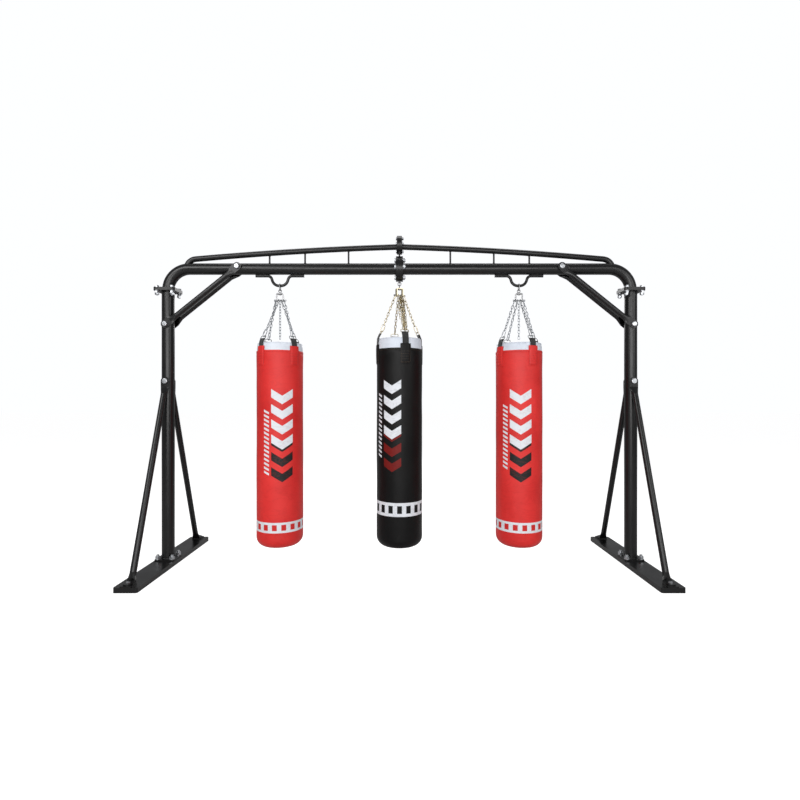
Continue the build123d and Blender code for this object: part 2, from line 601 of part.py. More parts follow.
def yoke(name, at):
    """A flat bar bent to an upturned U, with a hole for the shank and one for the cross bolt."""
    top, low = at["yoke_top"], at["yoke_top"] - YOKE_HEIGHT
    outer = Pos(0, 0, (top + low) / 2) * Box(YOKE_WIDTH, YOKE_DEPTH, YOKE_HEIGHT)
    corners = outer.edges().filter_by(Axis.Y).group_by(Axis.Z)[-1]
    outer = fillet(corners, YOKE_CORNER)
    feet = outer.edges().filter_by(Axis.X).group_by(Axis.Z)[0]
    outer = fillet(feet, YOKE_CORNER)
    inside = YOKE_WIDTH - 2 * YOKE_THICKNESS
    hollow = Pos(0, 0, (top - YOKE_THICKNESS + low) / 2) * Box(
        inside, 2 * YOKE_DEPTH, YOKE_HEIGHT - YOKE_THICKNESS)
    hollow_top = hollow.edges().filter_by(Axis.Y).group_by(Axis.Z)[-1]
    hollow = fillet(hollow_top, YOKE_CORNER - YOKE_THICKNESS)
    shank_hole = cylinder((0, 0, low), (0, 0, 2 * top - low), SWIVEL_SHANK / 2 + SWIVEL_PLAY)
    cross_hole = cylinder((-YOKE_WIDTH, 0, at["cross"]), (YOKE_WIDTH, 0, at["cross"]),
                          (CROSS_BOLT + BOLT_PLAY) / 2)
    return hang(name, at) * (outer - hollow - shank_hole - cross_hole)


def hang(name, at):
    return Pos(at["place"], 0, 0) * Rot(0, 0, YOKE_TURN[name])


def cross_bolt(name, at):
    reach = CHAIN_PLACES[-1] + TOP_LINK[2] / 2 + CROSS_BOLT_SPARE
    return hang(name, at) * bolt((-reach, 0, at["cross"]), (reach, 0, at["cross"]), CROSS_BOLT)


# ---- bag, collar, webbing and rings ----

def turned(profile_points):
    """A solid of revolution about Z from an outline of (radius, height) points."""
    outline = Plane.XZ * make_face(Polyline(*profile_points, close=True))
    return revolve(outline, Axis.Z)


def cover(name):
    low, top = BAG_BOTTOM[name], COVER_TOP[name]
    radius = BAG_DIAMETER / 2
    outer = cylinder((0, 0, low), (0, 0, top), radius)
    outer = fillet(outer.edges().group_by(Axis.Z)[0], BAG_EDGE_RADIUS)
    inner = cylinder((0, 0, low + COVER_WALL), (0, 0, top), radius - COVER_WALL)
    inner = fillet(inner.edges().group_by(Axis.Z)[0], BAG_EDGE_RADIUS - COVER_WALL)
    return outer - inner


def filling(name):
    low = BAG_BOTTOM[name] + COVER_WALL + CONTACT_GAP
    shoulder = COVER_TOP[name] - COLLAR_TUCK - CONTACT_GAP
    top = COLLAR_TOP[name] - LID_DEPTH - COLLAR_WALL - CONTACT_GAP
    radius = BAG_DIAMETER / 2 - COVER_WALL - CONTACT_GAP
    body = cylinder((0, 0, low), (0, 0, shoulder), radius)
    body = fillet(body.edges().group_by(Axis.Z)[0], BAG_EDGE_RADIUS - COVER_WALL - CONTACT_GAP)
    neck = cylinder((0, 0, shoulder), (0, 0, top),
                    radius - COLLAR_WALL - COLLAR_TAPER - CONTACT_GAP)
    return body + neck


def collar(name):
    low, rim = COVER_TOP[name] - COLLAR_TUCK, COLLAR_TOP[name]
    mouth = COVER_TOP[name]
    outer = BAG_DIAMETER / 2 - COVER_WALL - CONTACT_GAP
    lid_top = rim - LID_DEPTH
    lean = outer - COLLAR_TAPER
    inner = outer - COLLAR_WALL
    inner_lean = lean - COLLAR_WALL
    return turned([(inner, low), (outer, low), (outer, mouth), (lean, rim), (inner_lean, rim),
                   (inner_lean, lid_top), (0, lid_top), (0, lid_top - COLLAR_WALL),
                   (inner_lean, lid_top - COLLAR_WALL), (inner, mouth)])


def webbing_line(name, at):
    """The rim point and the upward direction of one webbing loop, as (radius, height)."""
    lean = BAG_DIAMETER / 2 - COVER_WALL - COLLAR_TAPER
    rim = Vector(lean + CONTACT_GAP + WEBBING_THICKNESS, 0, COLLAR_TOP[name] + WEBBING_THICKNESS)
    towards = (Vector(0, 0, at["cross"]) - rim).normalized()
    return rim, towards


def arc_slab(inner, thickness, width, low, high):
    """A slab bent round the bag, centred on +X."""
    ring = cylinder((0, 0, low), (0, 0, high), inner + thickness)
    ring -= cylinder((0, 0, low), (0, 0, high), inner)
    return ring & Pos(inner, 0, (low + high) / 2) * Box(inner, width, 2 * (high - low))


def webbing(name, at):
    """One webbing, sewn flat on the bag, leaning in over the rim and folded round its ring."""
    rim, towards = webbing_line(name, at)
    thick, wide = WEBBING_THICKNESS, WEBBING_WIDTH
    face = BAG_DIAMETER / 2 + CONTACT_GAP
    low = COVER_TOP[name] + PATCH_STAND_UP - PATCH_HEIGHT + WEBBING_WIDTH / 4
    sewn = arc_slab(face, thick, wide, low, COVER_TOP[name] + thick)
    bottom = Vector(face + thick / 2, 0, COVER_TOP[name] + thick / 2)
    bar = rim + towards * LOOP_REACH[name]
    barrel = RING_WIRE / 2 + CONTACT_GAP
    solid = sewn + slab(bottom, rim, thick, wide) + slab(rim, bar, 2 * thick, wide)
    solid += cylinder((rim.X, -wide / 2, rim.Z), (rim.X, wide / 2, rim.Z), thick / 2)
    solid += cylinder((bar.X, -wide / 2, bar.Z), (bar.X, wide / 2, bar.Z), barrel + thick)
    return solid - cylinder((bar.X, -wide, bar.Z), (bar.X, wide, bar.Z), barrel)


def slab(start, end, thickness, width):
    run = end - start
    return Plane(origin=start, x_dir=(0, 1, 0), z_dir=run) * Box(
        width, thickness, run.length, align=(Align.CENTER, Align.CENTER, Align.MIN))


def patch(name):
    """The piece of cover material sewn over one webbing."""
    face = BAG_DIAMETER / 2 + 2 * CONTACT_GAP + WEBBING_THICKNESS
    high = COVER_TOP[name] + PATCH_STAND_UP
    return arc_slab(face, PATCH_THICKNESS, PATCH_WIDTH, high - PATCH_HEIGHT, high)


def ring_bow(name, at):
    """Where a chain's last link pulls on a ring, as a point over +X."""
    rim, towards = webbing_line(name, at)
    return rim + towards * (LOOP_REACH[name] + RING_HEIGHT)


def webbing_ring(name, at):
    rim, towards = webbing_line(name, at)
    centre = rim + towards * (LOOP_REACH[name] + RING_HEIGHT / 2)
    flat = Plane(origin=centre, x_dir=(0, 1, 0), z_dir=Vector(0, 1, 0).cross(towards))
    outline = Rectangle(RING_WIDTH + RING_WIRE, RING_HEIGHT)
    outline = fillet(outline.vertices().group_by(Axis.Y)[0], RING_BAR_CORNER)
    outline = fillet(outline.vertices().group_by(Axis.Y)[-1], RING_BOW_CORNER)
    outline = (flat * outline).wire()
    return sweep(Plane(origin=outline @ 0, z_dir=outline % 0) * Circle(RING_WIRE / 2), outline)


def strap_turns(name):
    """Turns about Z of the four webbings, from straight in front, ordered from left to right."""
    turns = [STRAP_TURN[name] + place * 360 / STRAP_COUNT for place in range(STRAP_COUNT)]
    return sorted(turns, key=lambda turn: math.sin(math.radians(turn)))


def strap_spot(name, turn):
    """Places what is drawn over +X at one webbing's turn, measured from the front."""
    return Pos(BAG_PLACE[name], 0, 0) * Rot(0, 0, turn - 90)


# ---- chains ----

def quick_link():
    inside_length, inside_width, wire = QUICK_LINK
    link = oval_link(inside_length, inside_width, wire)
    length, wall = QUICK_LINK_SLEEVE
    return link + Pos((inside_width + wire) / 2, 0, 0) * Cylinder(wire / 2 + wall, length)


def chain(top, top_normal, low, low_normal):
    """Separate links from the cross bolt at one end to a webbing ring at the other."""
    run = low - top
    along = run.normalized()
    top_pull = CROSS_BOLT / 2 + CROSS_BOLT_GAP + TOP_LINK[2] / 2
    low_pull = RING_WIRE / 2 + LINK_PLAY + QUICK_LINK[2] / 2
    span = run.length + top_pull + low_pull
    nest = {pair: (pair[0][2] + pair[1][2]) / 2 + LINK_PLAY
            for pair in ((TOP_LINK, MID_LINK), (MID_LINK, MID_LINK), (MID_LINK, QUICK_LINK))}
    middle = span - TOP_LINK[0] - TOP_LINK[2] - QUICK_LINK[0] - QUICK_LINK[2]
    middle += nest[TOP_LINK, MID_LINK] + nest[MID_LINK, QUICK_LINK] - nest[MID_LINK, MID_LINK]
    count = int(middle // (MID_LINK[0] - LINK_PLAY))
    mid_inside = middle / count + LINK_PLAY
    kinds = [TOP_LINK] + [(mid_inside, *MID_LINK[1:])] * count + [QUICK_LINK]
    shapes = [oval_link(*TOP_LINK)] + [oval_link(*kinds[1])] * count + [quick_link()]

    first = (top_normal - along * top_normal.dot(along)).normalized()
    side = along.cross(first)
    wanted = math.degrees(math.atan2(low_normal.dot(side), low_normal.dot(first)))
    joints = count + 1
    spare = (wanted - 90 * joints + 90) % 180 - 90
    step = 90 + spare / joints

    links = []
    upper_wire = -top_pull
    for place, (kind, shape) in enumerate(zip(kinds, shapes)):
        length = kind[0] + kind[2]
        turn = math.radians(step * place)
        normal = first * math.cos(turn) + side * math.sin(turn)
        centre = top + along * (upper_wire + length / 2)
        links.append(Plane(origin=centre, x_dir=normal.cross(along), z_dir=along) * shape)
        if place < joints:
            upper_wire += length - (kind[2] + kinds[place + 1][2]) / 2 - LINK_PLAY
    return links


def chains(name, at):
    links = []
    bow = ring_bow(name, at)
    across = Vector(1, 0, 0).rotate(Axis.Z, YOKE_TURN[name])
    for place, turn in zip(CHAIN_PLACES, strap_turns(name)):
        top = Vector(at["place"], 0, at["cross"]) + across * place
        low = bow.rotate(Axis.Z, turn - 90) + Vector(at["place"], 0, 0)
        tangent = Vector(0, 1, 0).rotate(Axis.Z, turn - 90)
        links += chain(top, across, low, tangent)
    return links


def build():
    beam_space, rail_space = beam_outer(), rail_outer()
    mirrored = {"right": lambda solid: solid, "left": lambda solid: mirror(solid, Plane.YZ)}
    right = {
        "beam": [beam()],
        "rail": [rail(beam_space)],
        "rail_struts": [strut(place, beam_space, rail_space) for place in STRUT_PLACES],
        "corner_brace_front": [corner_brace(-corner_brace_depth())],
        "corner_brace_rear": [corner_brace(corner_brace_depth())],
        "hanger": [Pos(BAG_PITCH, 0, 0) * hanger()],
        "post": [Pos(POST_X, 0, 0) * post()],
        "base_plate": [Pos(POST_X, 0, 0) * base_plate()],
        "brace_rear": [Pos(POST_X, 0, 0) * base_brace()],
        "brace_front": [Pos(POST_X, 0, 0) * mirror(base_brace(), Plane.XZ)],
        "brace_pads": [Pos(POST_X, 0, 0) * foot_pad(),
                       Pos(POST_X, 0, 0) * mirror(foot_pad(), Plane.XZ)],
    }
    for side, place in mirrored.items():
        for name, solids in right.items():
            add(f"{name}_{side}", *[place(solid) for solid in solids])

    post_grip = POST_RADIUS + CONTACT_GAP + BRACE_LUG_THICKNESS
    corner_grip = corner_brace_depth() + BRACE_LUG_THICKNESS / 2
    ends = (-POST_X, POST_X)
    add("post_foot_bolts", *[foot_stud(end + x, y) for end in ends
                             for x, y in square_places(FOOT_BOLT_SPACING)])
    add("post_joint_bolts", *[joint_bolt(end + x, y) for end in ends
                              for x, y in square_places(JOINT_BOLT_SPACING)])
    add("corner_brace_bolts", *[through_bolt(x * sign, z, corner_grip, CORNER_CAP_HEIGHT)
                                for sign in SIDES.values()
                                for x, z in ((POST_X, CORNER_BRACE_POST_HEIGHT),
                                             (CORNER_BRACE_BEAM_PLACE,
                                              CORNER_BRACE_BEAM_HEIGHT))])
    add("base_brace_bolts", *[through_bolt(end, BASE_BRACE_TOP, post_grip, BASE_BRACE_CAP_HEIGHT)
                              for end in ends])
    add("brace_foot_bolts", *[Pos(end, 0, 0) * shape for end in ends
                              for shape in (brace_foot_bolt(),
                                            mirror(brace_foot_bolt(), Plane.XZ))])
    add("centre_plate", centre_plate())
    add("centre_bolts", *centre_bolts())
    add("eye_bolt", eye_bolt())

    for name in BAG_PLACE:
        at = hardware(name)
        place = Pos(at["place"], 0, 0)
        turns = strap_turns(name)
        add(f"shackle_{name}", shackle(at))
        add(f"swivel_eye_{name}", swivel_eye(at))
        add(f"swivel_yoke_{name}", yoke(name, at))
        add(f"cross_bolt_{name}", cross_bolt(name, at))
        add(f"chains_{name}", *chains(name, at))
        add(f"cover_{name}", place * cover(name))
        add(f"filling_{name}", place * filling(name))
        add(f"collar_{name}", place * collar(name))
        add(f"straps_{name}", *[strap_spot(name, turn) * solid for turn in turns
                                for solid in (webbing(name, at), patch(name))])
        add(f"strap_rings_{name}", *[strap_spot(name, turn) * webbing_ring(name, at)
                                     for turn in turns])
        print(name, "swing axis", round(at["swing"], 2), "tilt axis", round(at["tilt"], 2),
              "cross bolt", round(at["cross"], 2))


build()
os.makedirs("parts", exist_ok=True)
for node_name, solid_group in nodes.items():
    export_step(solid_group, f"parts/{node_name}.step")
print(len(nodes), "nodes")
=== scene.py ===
# %% [markdown]
# # Three heavy bags on a gantry stand
# A wide black steel gantry carries three long punching bags on chains. The steel parts come from
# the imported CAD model, which is loaded here as a fixed frame in metres, with +Z up and the floor
# at zero. This lesson gives that frame its finishes and models the sewn pieces anew. Their looks
# lie in hems, stitches, folds and prints, and the CAD solids leave those out.

# %% Load the frame
import math

import bmesh
import bpy
from mathutils import Matrix, Vector, noise


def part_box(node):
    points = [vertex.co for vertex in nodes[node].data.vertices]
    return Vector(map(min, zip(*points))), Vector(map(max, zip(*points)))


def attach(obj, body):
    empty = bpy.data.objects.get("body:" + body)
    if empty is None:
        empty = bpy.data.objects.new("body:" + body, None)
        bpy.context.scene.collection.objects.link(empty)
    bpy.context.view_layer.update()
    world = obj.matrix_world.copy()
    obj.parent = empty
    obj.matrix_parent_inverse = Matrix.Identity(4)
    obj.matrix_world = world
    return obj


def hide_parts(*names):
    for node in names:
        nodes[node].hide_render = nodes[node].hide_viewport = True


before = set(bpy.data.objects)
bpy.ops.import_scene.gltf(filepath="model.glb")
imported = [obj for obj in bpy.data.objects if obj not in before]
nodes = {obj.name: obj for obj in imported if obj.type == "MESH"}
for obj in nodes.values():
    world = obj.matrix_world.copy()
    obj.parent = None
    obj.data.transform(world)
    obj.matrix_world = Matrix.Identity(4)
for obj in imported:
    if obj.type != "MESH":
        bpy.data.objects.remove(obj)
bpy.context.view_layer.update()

# %% [markdown]
# ## Camera
# The stand is seen straight from the front by somebody close by, so a wide lens stands at chest
# height and looks level. Level matters: with the camera tipped, the posts would lean together.

# %% Camera
def put_in_scene(name, data):
    made = bpy.data.objects.new(name, data)
    bpy.context.scene.collection.objects.link(made)
    return made


EYE_PLACE = (0.004, -3.471, 1.171)
camera_settings = bpy.data.cameras.new("Camera")
camera_settings.lens = 21.7
camera_settings.sensor_width = 36.0
camera_settings.clip_start = 0.05
camera = put_in_scene("Camera", camera_settings)
camera.location = EYE_PLACE
camera.rotation_euler = (math.radians(90), 0, 0)
bpy.context.scene.camera = camera
print("camera at", EYE_PLACE)

# %% [markdown]
# ## Floor and light
# A studio floor is one pale sheet that runs far past the object. Large soft lights give black
# paint its long highlights: a small lamp would only put dots on the tubes. The widest stands
# behind the camera, so that each tube has a grey band down its middle and dark edges. The key
# light stands to the front left, a fill to the right, and a strip above the beam. The sky
# is painted twice. The camera sees it as a white backdrop, while the object is lit by a dimmer
# one, because a white sky all round would wash the black paint grey. The standard view keeps
# white white and the reds full, where a filmic one would soften both.

# %% Floor and light
FLOOR_HALF = 40.0
floor_shape = bmesh.new()
bmesh.ops.create_grid(floor_shape, x_segments=4, y_segments=4, size=FLOOR_HALF)
floor_mesh = bpy.data.meshes.new("Studio_Floor")
floor_shape.to_mesh(floor_mesh)
floor_shape.free()
floor = put_in_scene("Studio_Floor", floor_mesh)


def soft_light(name, place, target, width, height, power):
    """A rectangular lamp that faces its target."""
    settings = bpy.data.lights.new(name, "AREA")
    settings.shape = "RECTANGLE"
    settings.size = width
    settings.size_y = height
    settings.energy = power
    lamp = put_in_scene(name, settings)
    lamp.location = place
    lamp.rotation_euler = (Vector(target) - Vector(place)).to_track_quat("-Z", "Y").to_euler()
    return lamp


soft_light("Front_Light", (0, -7.0, 2.0), (0, 0, 1.2), 6.0, 2.6, 230)
soft_light("Key_Light", (-3.6, -4.8, 4.2), (0, 0, 1.1), 3.0, 2.4, 125)
soft_light("Fill_Light", (4.2, -3.6, 2.6), (0, 0, 1.0), 2.4, 2.4, 45)
soft_light("Top_Light", (0, 0.6, 5.2), (0, 0, 1.5), 5.0, 1.6, 85)
soft_light("Back_Light", (0, 5.2, 3.4), (0, 0, 1.2), 4.0, 2.0, 75)
bpy.context.scene.view_settings.view_transform = "Standard"
BACKDROP = 1.02             # the sky as the camera sees it
SKY_LIGHT = 0.30            # the sky as it lights the object
sky = bpy.data.worlds.new("Studio_Sky")
bpy.context.scene.world = sky
sky.use_nodes = True
sky_glow = sky.node_tree.nodes["Background"]
sky_glow.inputs["Color"].default_value = (0.97, 0.98, 1.0, 1.0)
seen = sky.node_tree.nodes.new("ShaderNodeLightPath")
sky_strength = sky.node_tree.nodes.new("ShaderNodeMapRange")
sky_strength.inputs["To Min"].default_value = SKY_LIGHT
sky_strength.inputs["To Max"].default_value = BACKDROP
sky.node_tree.links.new(seen.outputs["Is Camera Ray"], sky_strength.inputs["Value"])
sky.node_tree.links.new(sky_strength.outputs["Result"], sky_glow.inputs["Strength"])

# %% [markdown]
# ## Helpers for shader nodes
# Each finish is a small web of nodes. Placing nodes one by one makes long code, so small helpers
# wire a node, do a sum, stretch a range or mix two colours by a mask. Effects that several
# finishes share become node groups, which put out masks and heights. The shader itself stays in
# each material, where its plain numbers are set on its own sockets.

# %% Shader helpers
def fill_inputs(tree, made, inputs):
    """Links an input to another node's output, or gives it a plain value."""
    for name, value in inputs.items():
        if isinstance(value, bpy.types.NodeSocket):
            tree.links.new(value, made.inputs[name])
        else:
            made.inputs[name].default_value = value


def wire(tree, kind, inputs=(), **settings):
    """A new shader node. Each input takes a number or another node's output."""
    made = tree.nodes.new("ShaderNode" + kind)
    for name, value in settings.items():
        setattr(made, name, value)
    fill_inputs(tree, made, dict(inputs))
    return made


def calc(tree, operation, *values):
    return wire(tree, "Math", enumerate(values), operation=operation).outputs[0]


def spread(tree, value, low, high):
    """Stretches the part of a value between low and high over 0 to 1."""
    stretched = wire(tree, "MapRange", {"Value": value, "From Min": low, "From Max": high})
    return stretched.outputs["Result"]


def mix_colours(tree, mask, first, second):
    mixed = wire(tree, "Mix", {0: mask, 6: first, 7: second}, data_type="RGBA")
    return mixed.outputs[2]


def start_group(name, inputs, outputs):
    """An empty node group with named sockets: its tree, what it is given and what it returns."""
    tree = bpy.data.node_groups.new(name, "ShaderNodeTree")
    for label, kind in inputs.items():
        tree.interface.new_socket(label, in_out="INPUT", socket_type="NodeSocket" + kind)
    for label in outputs:
        tree.interface.new_socket(label, in_out="OUTPUT", socket_type="NodeSocketFloat")
    given = tree.nodes.new("NodeGroupInput").outputs
    result = tree.nodes.new("NodeGroupOutput").inputs
    return tree, given, result


def use_group(tree, group, inputs):
    made = tree.nodes.new("ShaderNodeGroup")
    made.node_tree = group
    fill_inputs(tree, made, inputs)
    return made.outputs


def start_material(name):
    material = bpy.data.materials.new(name)
    material.use_nodes = True
    return material, material.node_tree, material.node_tree.nodes["Principled BSDF"]


def dress_shader(tree, shader, colour, roughness, bump):
    tree.links.new(colour, shader.inputs["Base Color"])
    tree.links.new(roughness, shader.inputs["Roughness"])
    tree.links.new(bump.outputs["Normal"], shader.inputs["Normal"])


def grey(value):
    return (value, value, value, 1.0)


print("shader helpers ready")

# %% [markdown]
# ## Shared effects
# Paint and plating both have a faint ripple called orange peel, broad drifts in tone, and small
# scuffs where they were handled. Leathercloth has fine pebbles with soft creases between. Webbing
# is woven, so its threads are laid along its own length and width. Prints are bars within a
# frame, straight or bent to chevrons. Each one is a node group with its scale as an input.

# %% Node group: coated metal
coated_surface, given, result = start_group(
    "Coated Surface", {"Vector": "Vector", "Peel Scale": "Float", "Scuff Scale": "Float"},
    ["Height", "Scuff", "Tone"])
peel = wire(coated_surface, "TexNoise",
            {"Vector": given["Vector"], "Scale": given["Peel Scale"], "Detail": 2.0})
marks = wire(coated_surface, "TexNoise", {"Vector": given["Vector"], "Scale": given["Scuff Scale"],
                                          "Detail": 9.0, "Roughness": 0.72})
drift = wire(coated_surface, "TexNoise", {"Vector": given["Vector"], "Scale": 7.0, "Detail": 4.0})
scuff = spread(coated_surface, marks.outputs["Fac"], 0.62, 0.74)
coated_surface.links.new(scuff, result["Scuff"])
coated_surface.links.new(spread(coated_surface, drift.outputs["Fac"], 0.3, 0.7), result["Tone"])
coated_surface.links.new(
    calc(coated_surface, "MULTIPLY_ADD", scuff, -0.6, peel.outputs["Fac"]), result["Height"])
print("group:", coated_surface.name)

# %% Node group: leathercloth
hide_surface, given, result = start_group(
    "Hide Surface", {"Vector": "Vector", "Pebble Scale": "Float", "Crease Scale": "Float"},
    ["Height", "Crease", "Tone"])
pebbles = wire(hide_surface, "TexVoronoi",
               {"Vector": given["Vector"], "Scale": given["Pebble Scale"], "Smoothness": 0.4},
               feature="SMOOTH_F1")
long_way = wire(hide_surface, "Mapping", {"Vector": given["Vector"], "Scale": (1.0, 1.0, 2.4)})
folds = wire(hide_surface, "TexNoise", {"Vector": long_way.outputs["Vector"],
                                        "Scale": given["Crease Scale"], "Detail": 5.0,
                                        "Roughness": 0.6, "Distortion": 0.8})
ridge = calc(hide_surface, "ABSOLUTE",
             calc(hide_surface, "SUBTRACT", folds.outputs["Fac"], 0.5))
crease = calc(hide_surface, "SUBTRACT", 1.0, spread(hide_surface, ridge, 0.0, 0.035))
shade = wire(hide_surface, "TexNoise", {"Vector": given["Vector"], "Scale": 5.0, "Detail": 6.0})
hide_surface.links.new(crease, result["Crease"])
hide_surface.links.new(spread(hide_surface, shade.outputs["Fac"], 0.3, 0.7), result["Tone"])
pebble_dip = calc(hide_surface, "MULTIPLY", pebbles.outputs["Distance"], -0.9)
hide_surface.links.new(
    calc(hide_surface, "MULTIPLY_ADD", crease, -0.5, pebble_dip), result["Height"])
print("group:", hide_surface.name)

# %% Node group: weave
weave_surface, given, result = start_group(
    "Weave Surface", {"Vector": "Vector", "Ribs": "Float", "Picks": "Float"},
    ["Height", "Shade"])
flat = wire(weave_surface, "SeparateXYZ", {"Vector": given["Vector"]}).outputs
rib_count = calc(weave_surface, "MULTIPLY", flat["X"], given["Ribs"])
rib_step = calc(weave_surface, "MULTIPLY", calc(weave_surface, "FLOOR", rib_count), 0.5)
pick_count = calc(weave_surface, "MULTIPLY_ADD", flat["Y"], given["Picks"], rib_step)
rib = calc(weave_surface, "ABSOLUTE",
           calc(weave_surface, "SINE", calc(weave_surface, "MULTIPLY", rib_count, math.pi)))
pick = calc(weave_surface, "ABSOLUTE",
            calc(weave_surface, "SINE", calc(weave_surface, "MULTIPLY", pick_count, math.pi)))
woven = calc(weave_surface, "MULTIPLY", rib, pick)
weave_surface.links.new(woven, result["Height"])
# Shade is the relief spread over 0 to 1. The webbing mixes its colour by it, as painted shade in
# the hollows of the weave, and sets its roughness from it.
weave_surface.links.new(spread(weave_surface, woven, 0.1, 0.9), result["Shade"])
print("group:", weave_surface.name)

# %% Node group: printed bars
printed_bars, given, result = start_group(
    "Printed Bars",
    {"Vector": "Vector", "Left": "Float", "Right": "Float", "Low": "Float", "High": "Float",
     "Centre": "Float", "Slope": "Float", "Turn": "Float", "Pitch": "Float", "Filled": "Float"},
    ["Mask"])
flat = wire(printed_bars, "SeparateXYZ", {"Vector": given["Vector"]}).outputs
from_centre = calc(printed_bars, "ABSOLUTE",
                   calc(printed_bars, "SUBTRACT", flat["X"], given["Centre"]))
slanted = calc(printed_bars, "MULTIPLY_ADD", from_centre, given["Slope"], flat["Y"])
across = calc(printed_bars, "SUBTRACT", flat["X"], given["Left"])
upwards = calc(printed_bars, "SUBTRACT", slanted, given["Low"])
along = calc(printed_bars, "MULTIPLY_ADD",
             calc(printed_bars, "SUBTRACT", across, upwards), given["Turn"], upwards)
part = calc(printed_bars, "FRACT", calc(printed_bars, "DIVIDE", along, given["Pitch"]))
mask = calc(printed_bars, "LESS_THAN", part, given["Filled"])
for smaller, larger in ((given["Left"], flat["X"]), (flat["X"], given["Right"]),
                        (given["Low"], slanted), (slanted, given["High"])):
    mask = calc(printed_bars, "MULTIPLY", mask, calc(printed_bars, "LESS_THAN", smaller, larger))
printed_bars.links.new(mask, result["Mask"])
print("group:", printed_bars.name)

# %% [markdown]
# ## Paint and plating
# The gantry is powder coated: black, half glossy, with a fine ripple. Bolts are zinc plated, pale
# and a little cloudy. The hanging hardware is bright zinc, and the middle bag's chain has a warm
# yellow passivated finish. All are one recipe with other numbers, so one function makes them.

# %% Coated metals
def coated_metal(name, deep, light, worn, metallic, roughness, peel, scuff_share):
    """Peel is (scale, bump height in metres). Scuffs mix towards the worn colour."""
    material, tree, shader = start_material(name)
    spot = wire(tree, "TexCoord").outputs["Object"]
    surface = use_group(tree, coated_surface,
                        {"Vector": spot, "Peel Scale": peel[0], "Scuff Scale": 26.0})
    paint = mix_colours(tree, surface["Tone"], deep, light)
    scuffed = calc(tree, "MULTIPLY", surface["Scuff"], scuff_share)
    colour = mix_colours(tree, scuffed, paint, worn)
    dull = calc(tree, "MULTIPLY_ADD", surface["Tone"], 0.10, roughness - 0.05)
    bump = wire(tree, "Bump", {"Strength": 0.5, "Distance": peel[1], "Height": surface["Height"]})
    dress_shader(tree, shader, colour, calc(tree, "MULTIPLY_ADD", scuffed, 0.25, dull), bump)
    shader.inputs["Metallic"].default_value = metallic
    return material


frame_paint = coated_metal("Frame_Powder_Coat", (0.0012, 0.0012, 0.0013, 1),
                           (0.0030, 0.0030, 0.0033, 1), (0.018, 0.018, 0.019, 1), 0.0, 0.32,
                           (420.0, 0.0001), 0.3)
frame_shader = frame_paint.node_tree.nodes["Principled BSDF"]
frame_shader.inputs["Specular IOR Level"].default_value = 0.40
frame_shader.inputs["Coat Weight"].default_value = 0.12
frame_shader.inputs["Coat Roughness"].default_value = 0.20
bolt_zinc = coated_metal("Bolt_Zinc", (0.40, 0.41, 0.43, 1), (0.60, 0.62, 0.64, 1),
                         (0.18, 0.18, 0.19, 1), 0.95, 0.30, (900.0, 0.0001), 0.6)
hanging_zinc = coated_metal("Hanging_Zinc", (0.21, 0.21, 0.215, 1), (0.35, 0.355, 0.36, 1),
                            (0.10, 0.09, 0.08, 1), 1.0, 0.40, (1200.0, 0.0001), 0.7)
chain_zinc = coated_metal("Chain_Zinc", (0.33, 0.35, 0.37, 1), (0.54, 0.56, 0.58, 1),
                          (0.13, 0.125, 0.12, 1), 1.0, 0.22, (1500.0, 0.0001), 0.8)
chain_brass = coated_metal("Chain_Yellow_Zinc", (0.46, 0.38, 0.23, 1), (0.76, 0.68, 0.49, 1),
                           (0.12, 0.08, 0.04, 1), 1.0, 0.25, (1500.0, 0.0001), 0.8)
print("metals:", [m.name for m in (frame_paint, bolt_zinc, hanging_zinc, chain_zinc, chain_brass)])

# %% [markdown]
# ## Leathercloth and its prints
# Bags of this kind are sewn from smooth leathercloth with a fine grain. A broad band runs round
# each bag near its foot and a tall graphic climbs its front. Both are printed, so they only
# change colour, and the grain goes on beneath them. The pattern follows a UV map in metres, wound
# round the bag, so a bar keeps its real width. Painting them by Object coordinates would stretch
# them at the sides.

# %% Leathercloth
def leathercloth(name, deep, light, crease_shade_colour, roughness, gloss, prints=()):
    """Gloss is the specular level. Prints are (bar settings, colour) pairs, laid in order."""
    material, tree, shader = start_material(name)
    spot = wire(tree, "TexCoord").outputs["Object"]
    surface = use_group(tree, hide_surface,
                        {"Vector": spot, "Pebble Scale": 620.0, "Crease Scale": 9.0})
    colour = mix_colours(tree, surface["Tone"], deep, light)
    if prints:
        wrap = wire(tree, "UVMap", uv_map="Wrap").outputs["UV"]
    for bars, ink in prints:
        mask = use_group(tree, printed_bars, {"Vector": wrap, **bars})["Mask"]
        colour = mix_colours(tree, mask, colour, ink)
    # The creases are darkened towards the crease colour: painted shade in the crease lines.
    faint = calc(tree, "MULTIPLY", surface["Crease"], 0.16)
    colour = mix_colours(tree, faint, colour, crease_shade_colour)
    bump = wire(tree, "Bump",
                {"Strength": 0.45, "Distance": 0.0006, "Height": surface["Height"]})
    dull = calc(tree, "MULTIPLY_ADD", surface["Tone"], 0.12, roughness - 0.06)
    dress_shader(tree, shader, colour, dull, bump)
    shader.inputs["Specular IOR Level"].default_value = gloss
    return material


print("leathercloth recipe ready")

# %% Prints of each bag
WHITE_INK = (0.74, 0.76, 0.80, 1.0)
BLACK_INK = (0.006, 0.006, 0.0065, 1.0)
RED_INK = (0.60, 0.020, 0.018, 1.0)
DARK_RED_INK = (0.17, 0.008, 0.006, 1.0)
FAR = 10.0                  # beyond every edge of a bag
COLUMN_RISE = 0.640         # height of the chevron column
COLUMN_SPLIT = 0.225        # height of its lower, darker part
RED_FOOT, BLACK_FOOT = 0.605, 0.675     # where each column starts
PRINT_TURN = 0.040          # the red columns face a little inwards


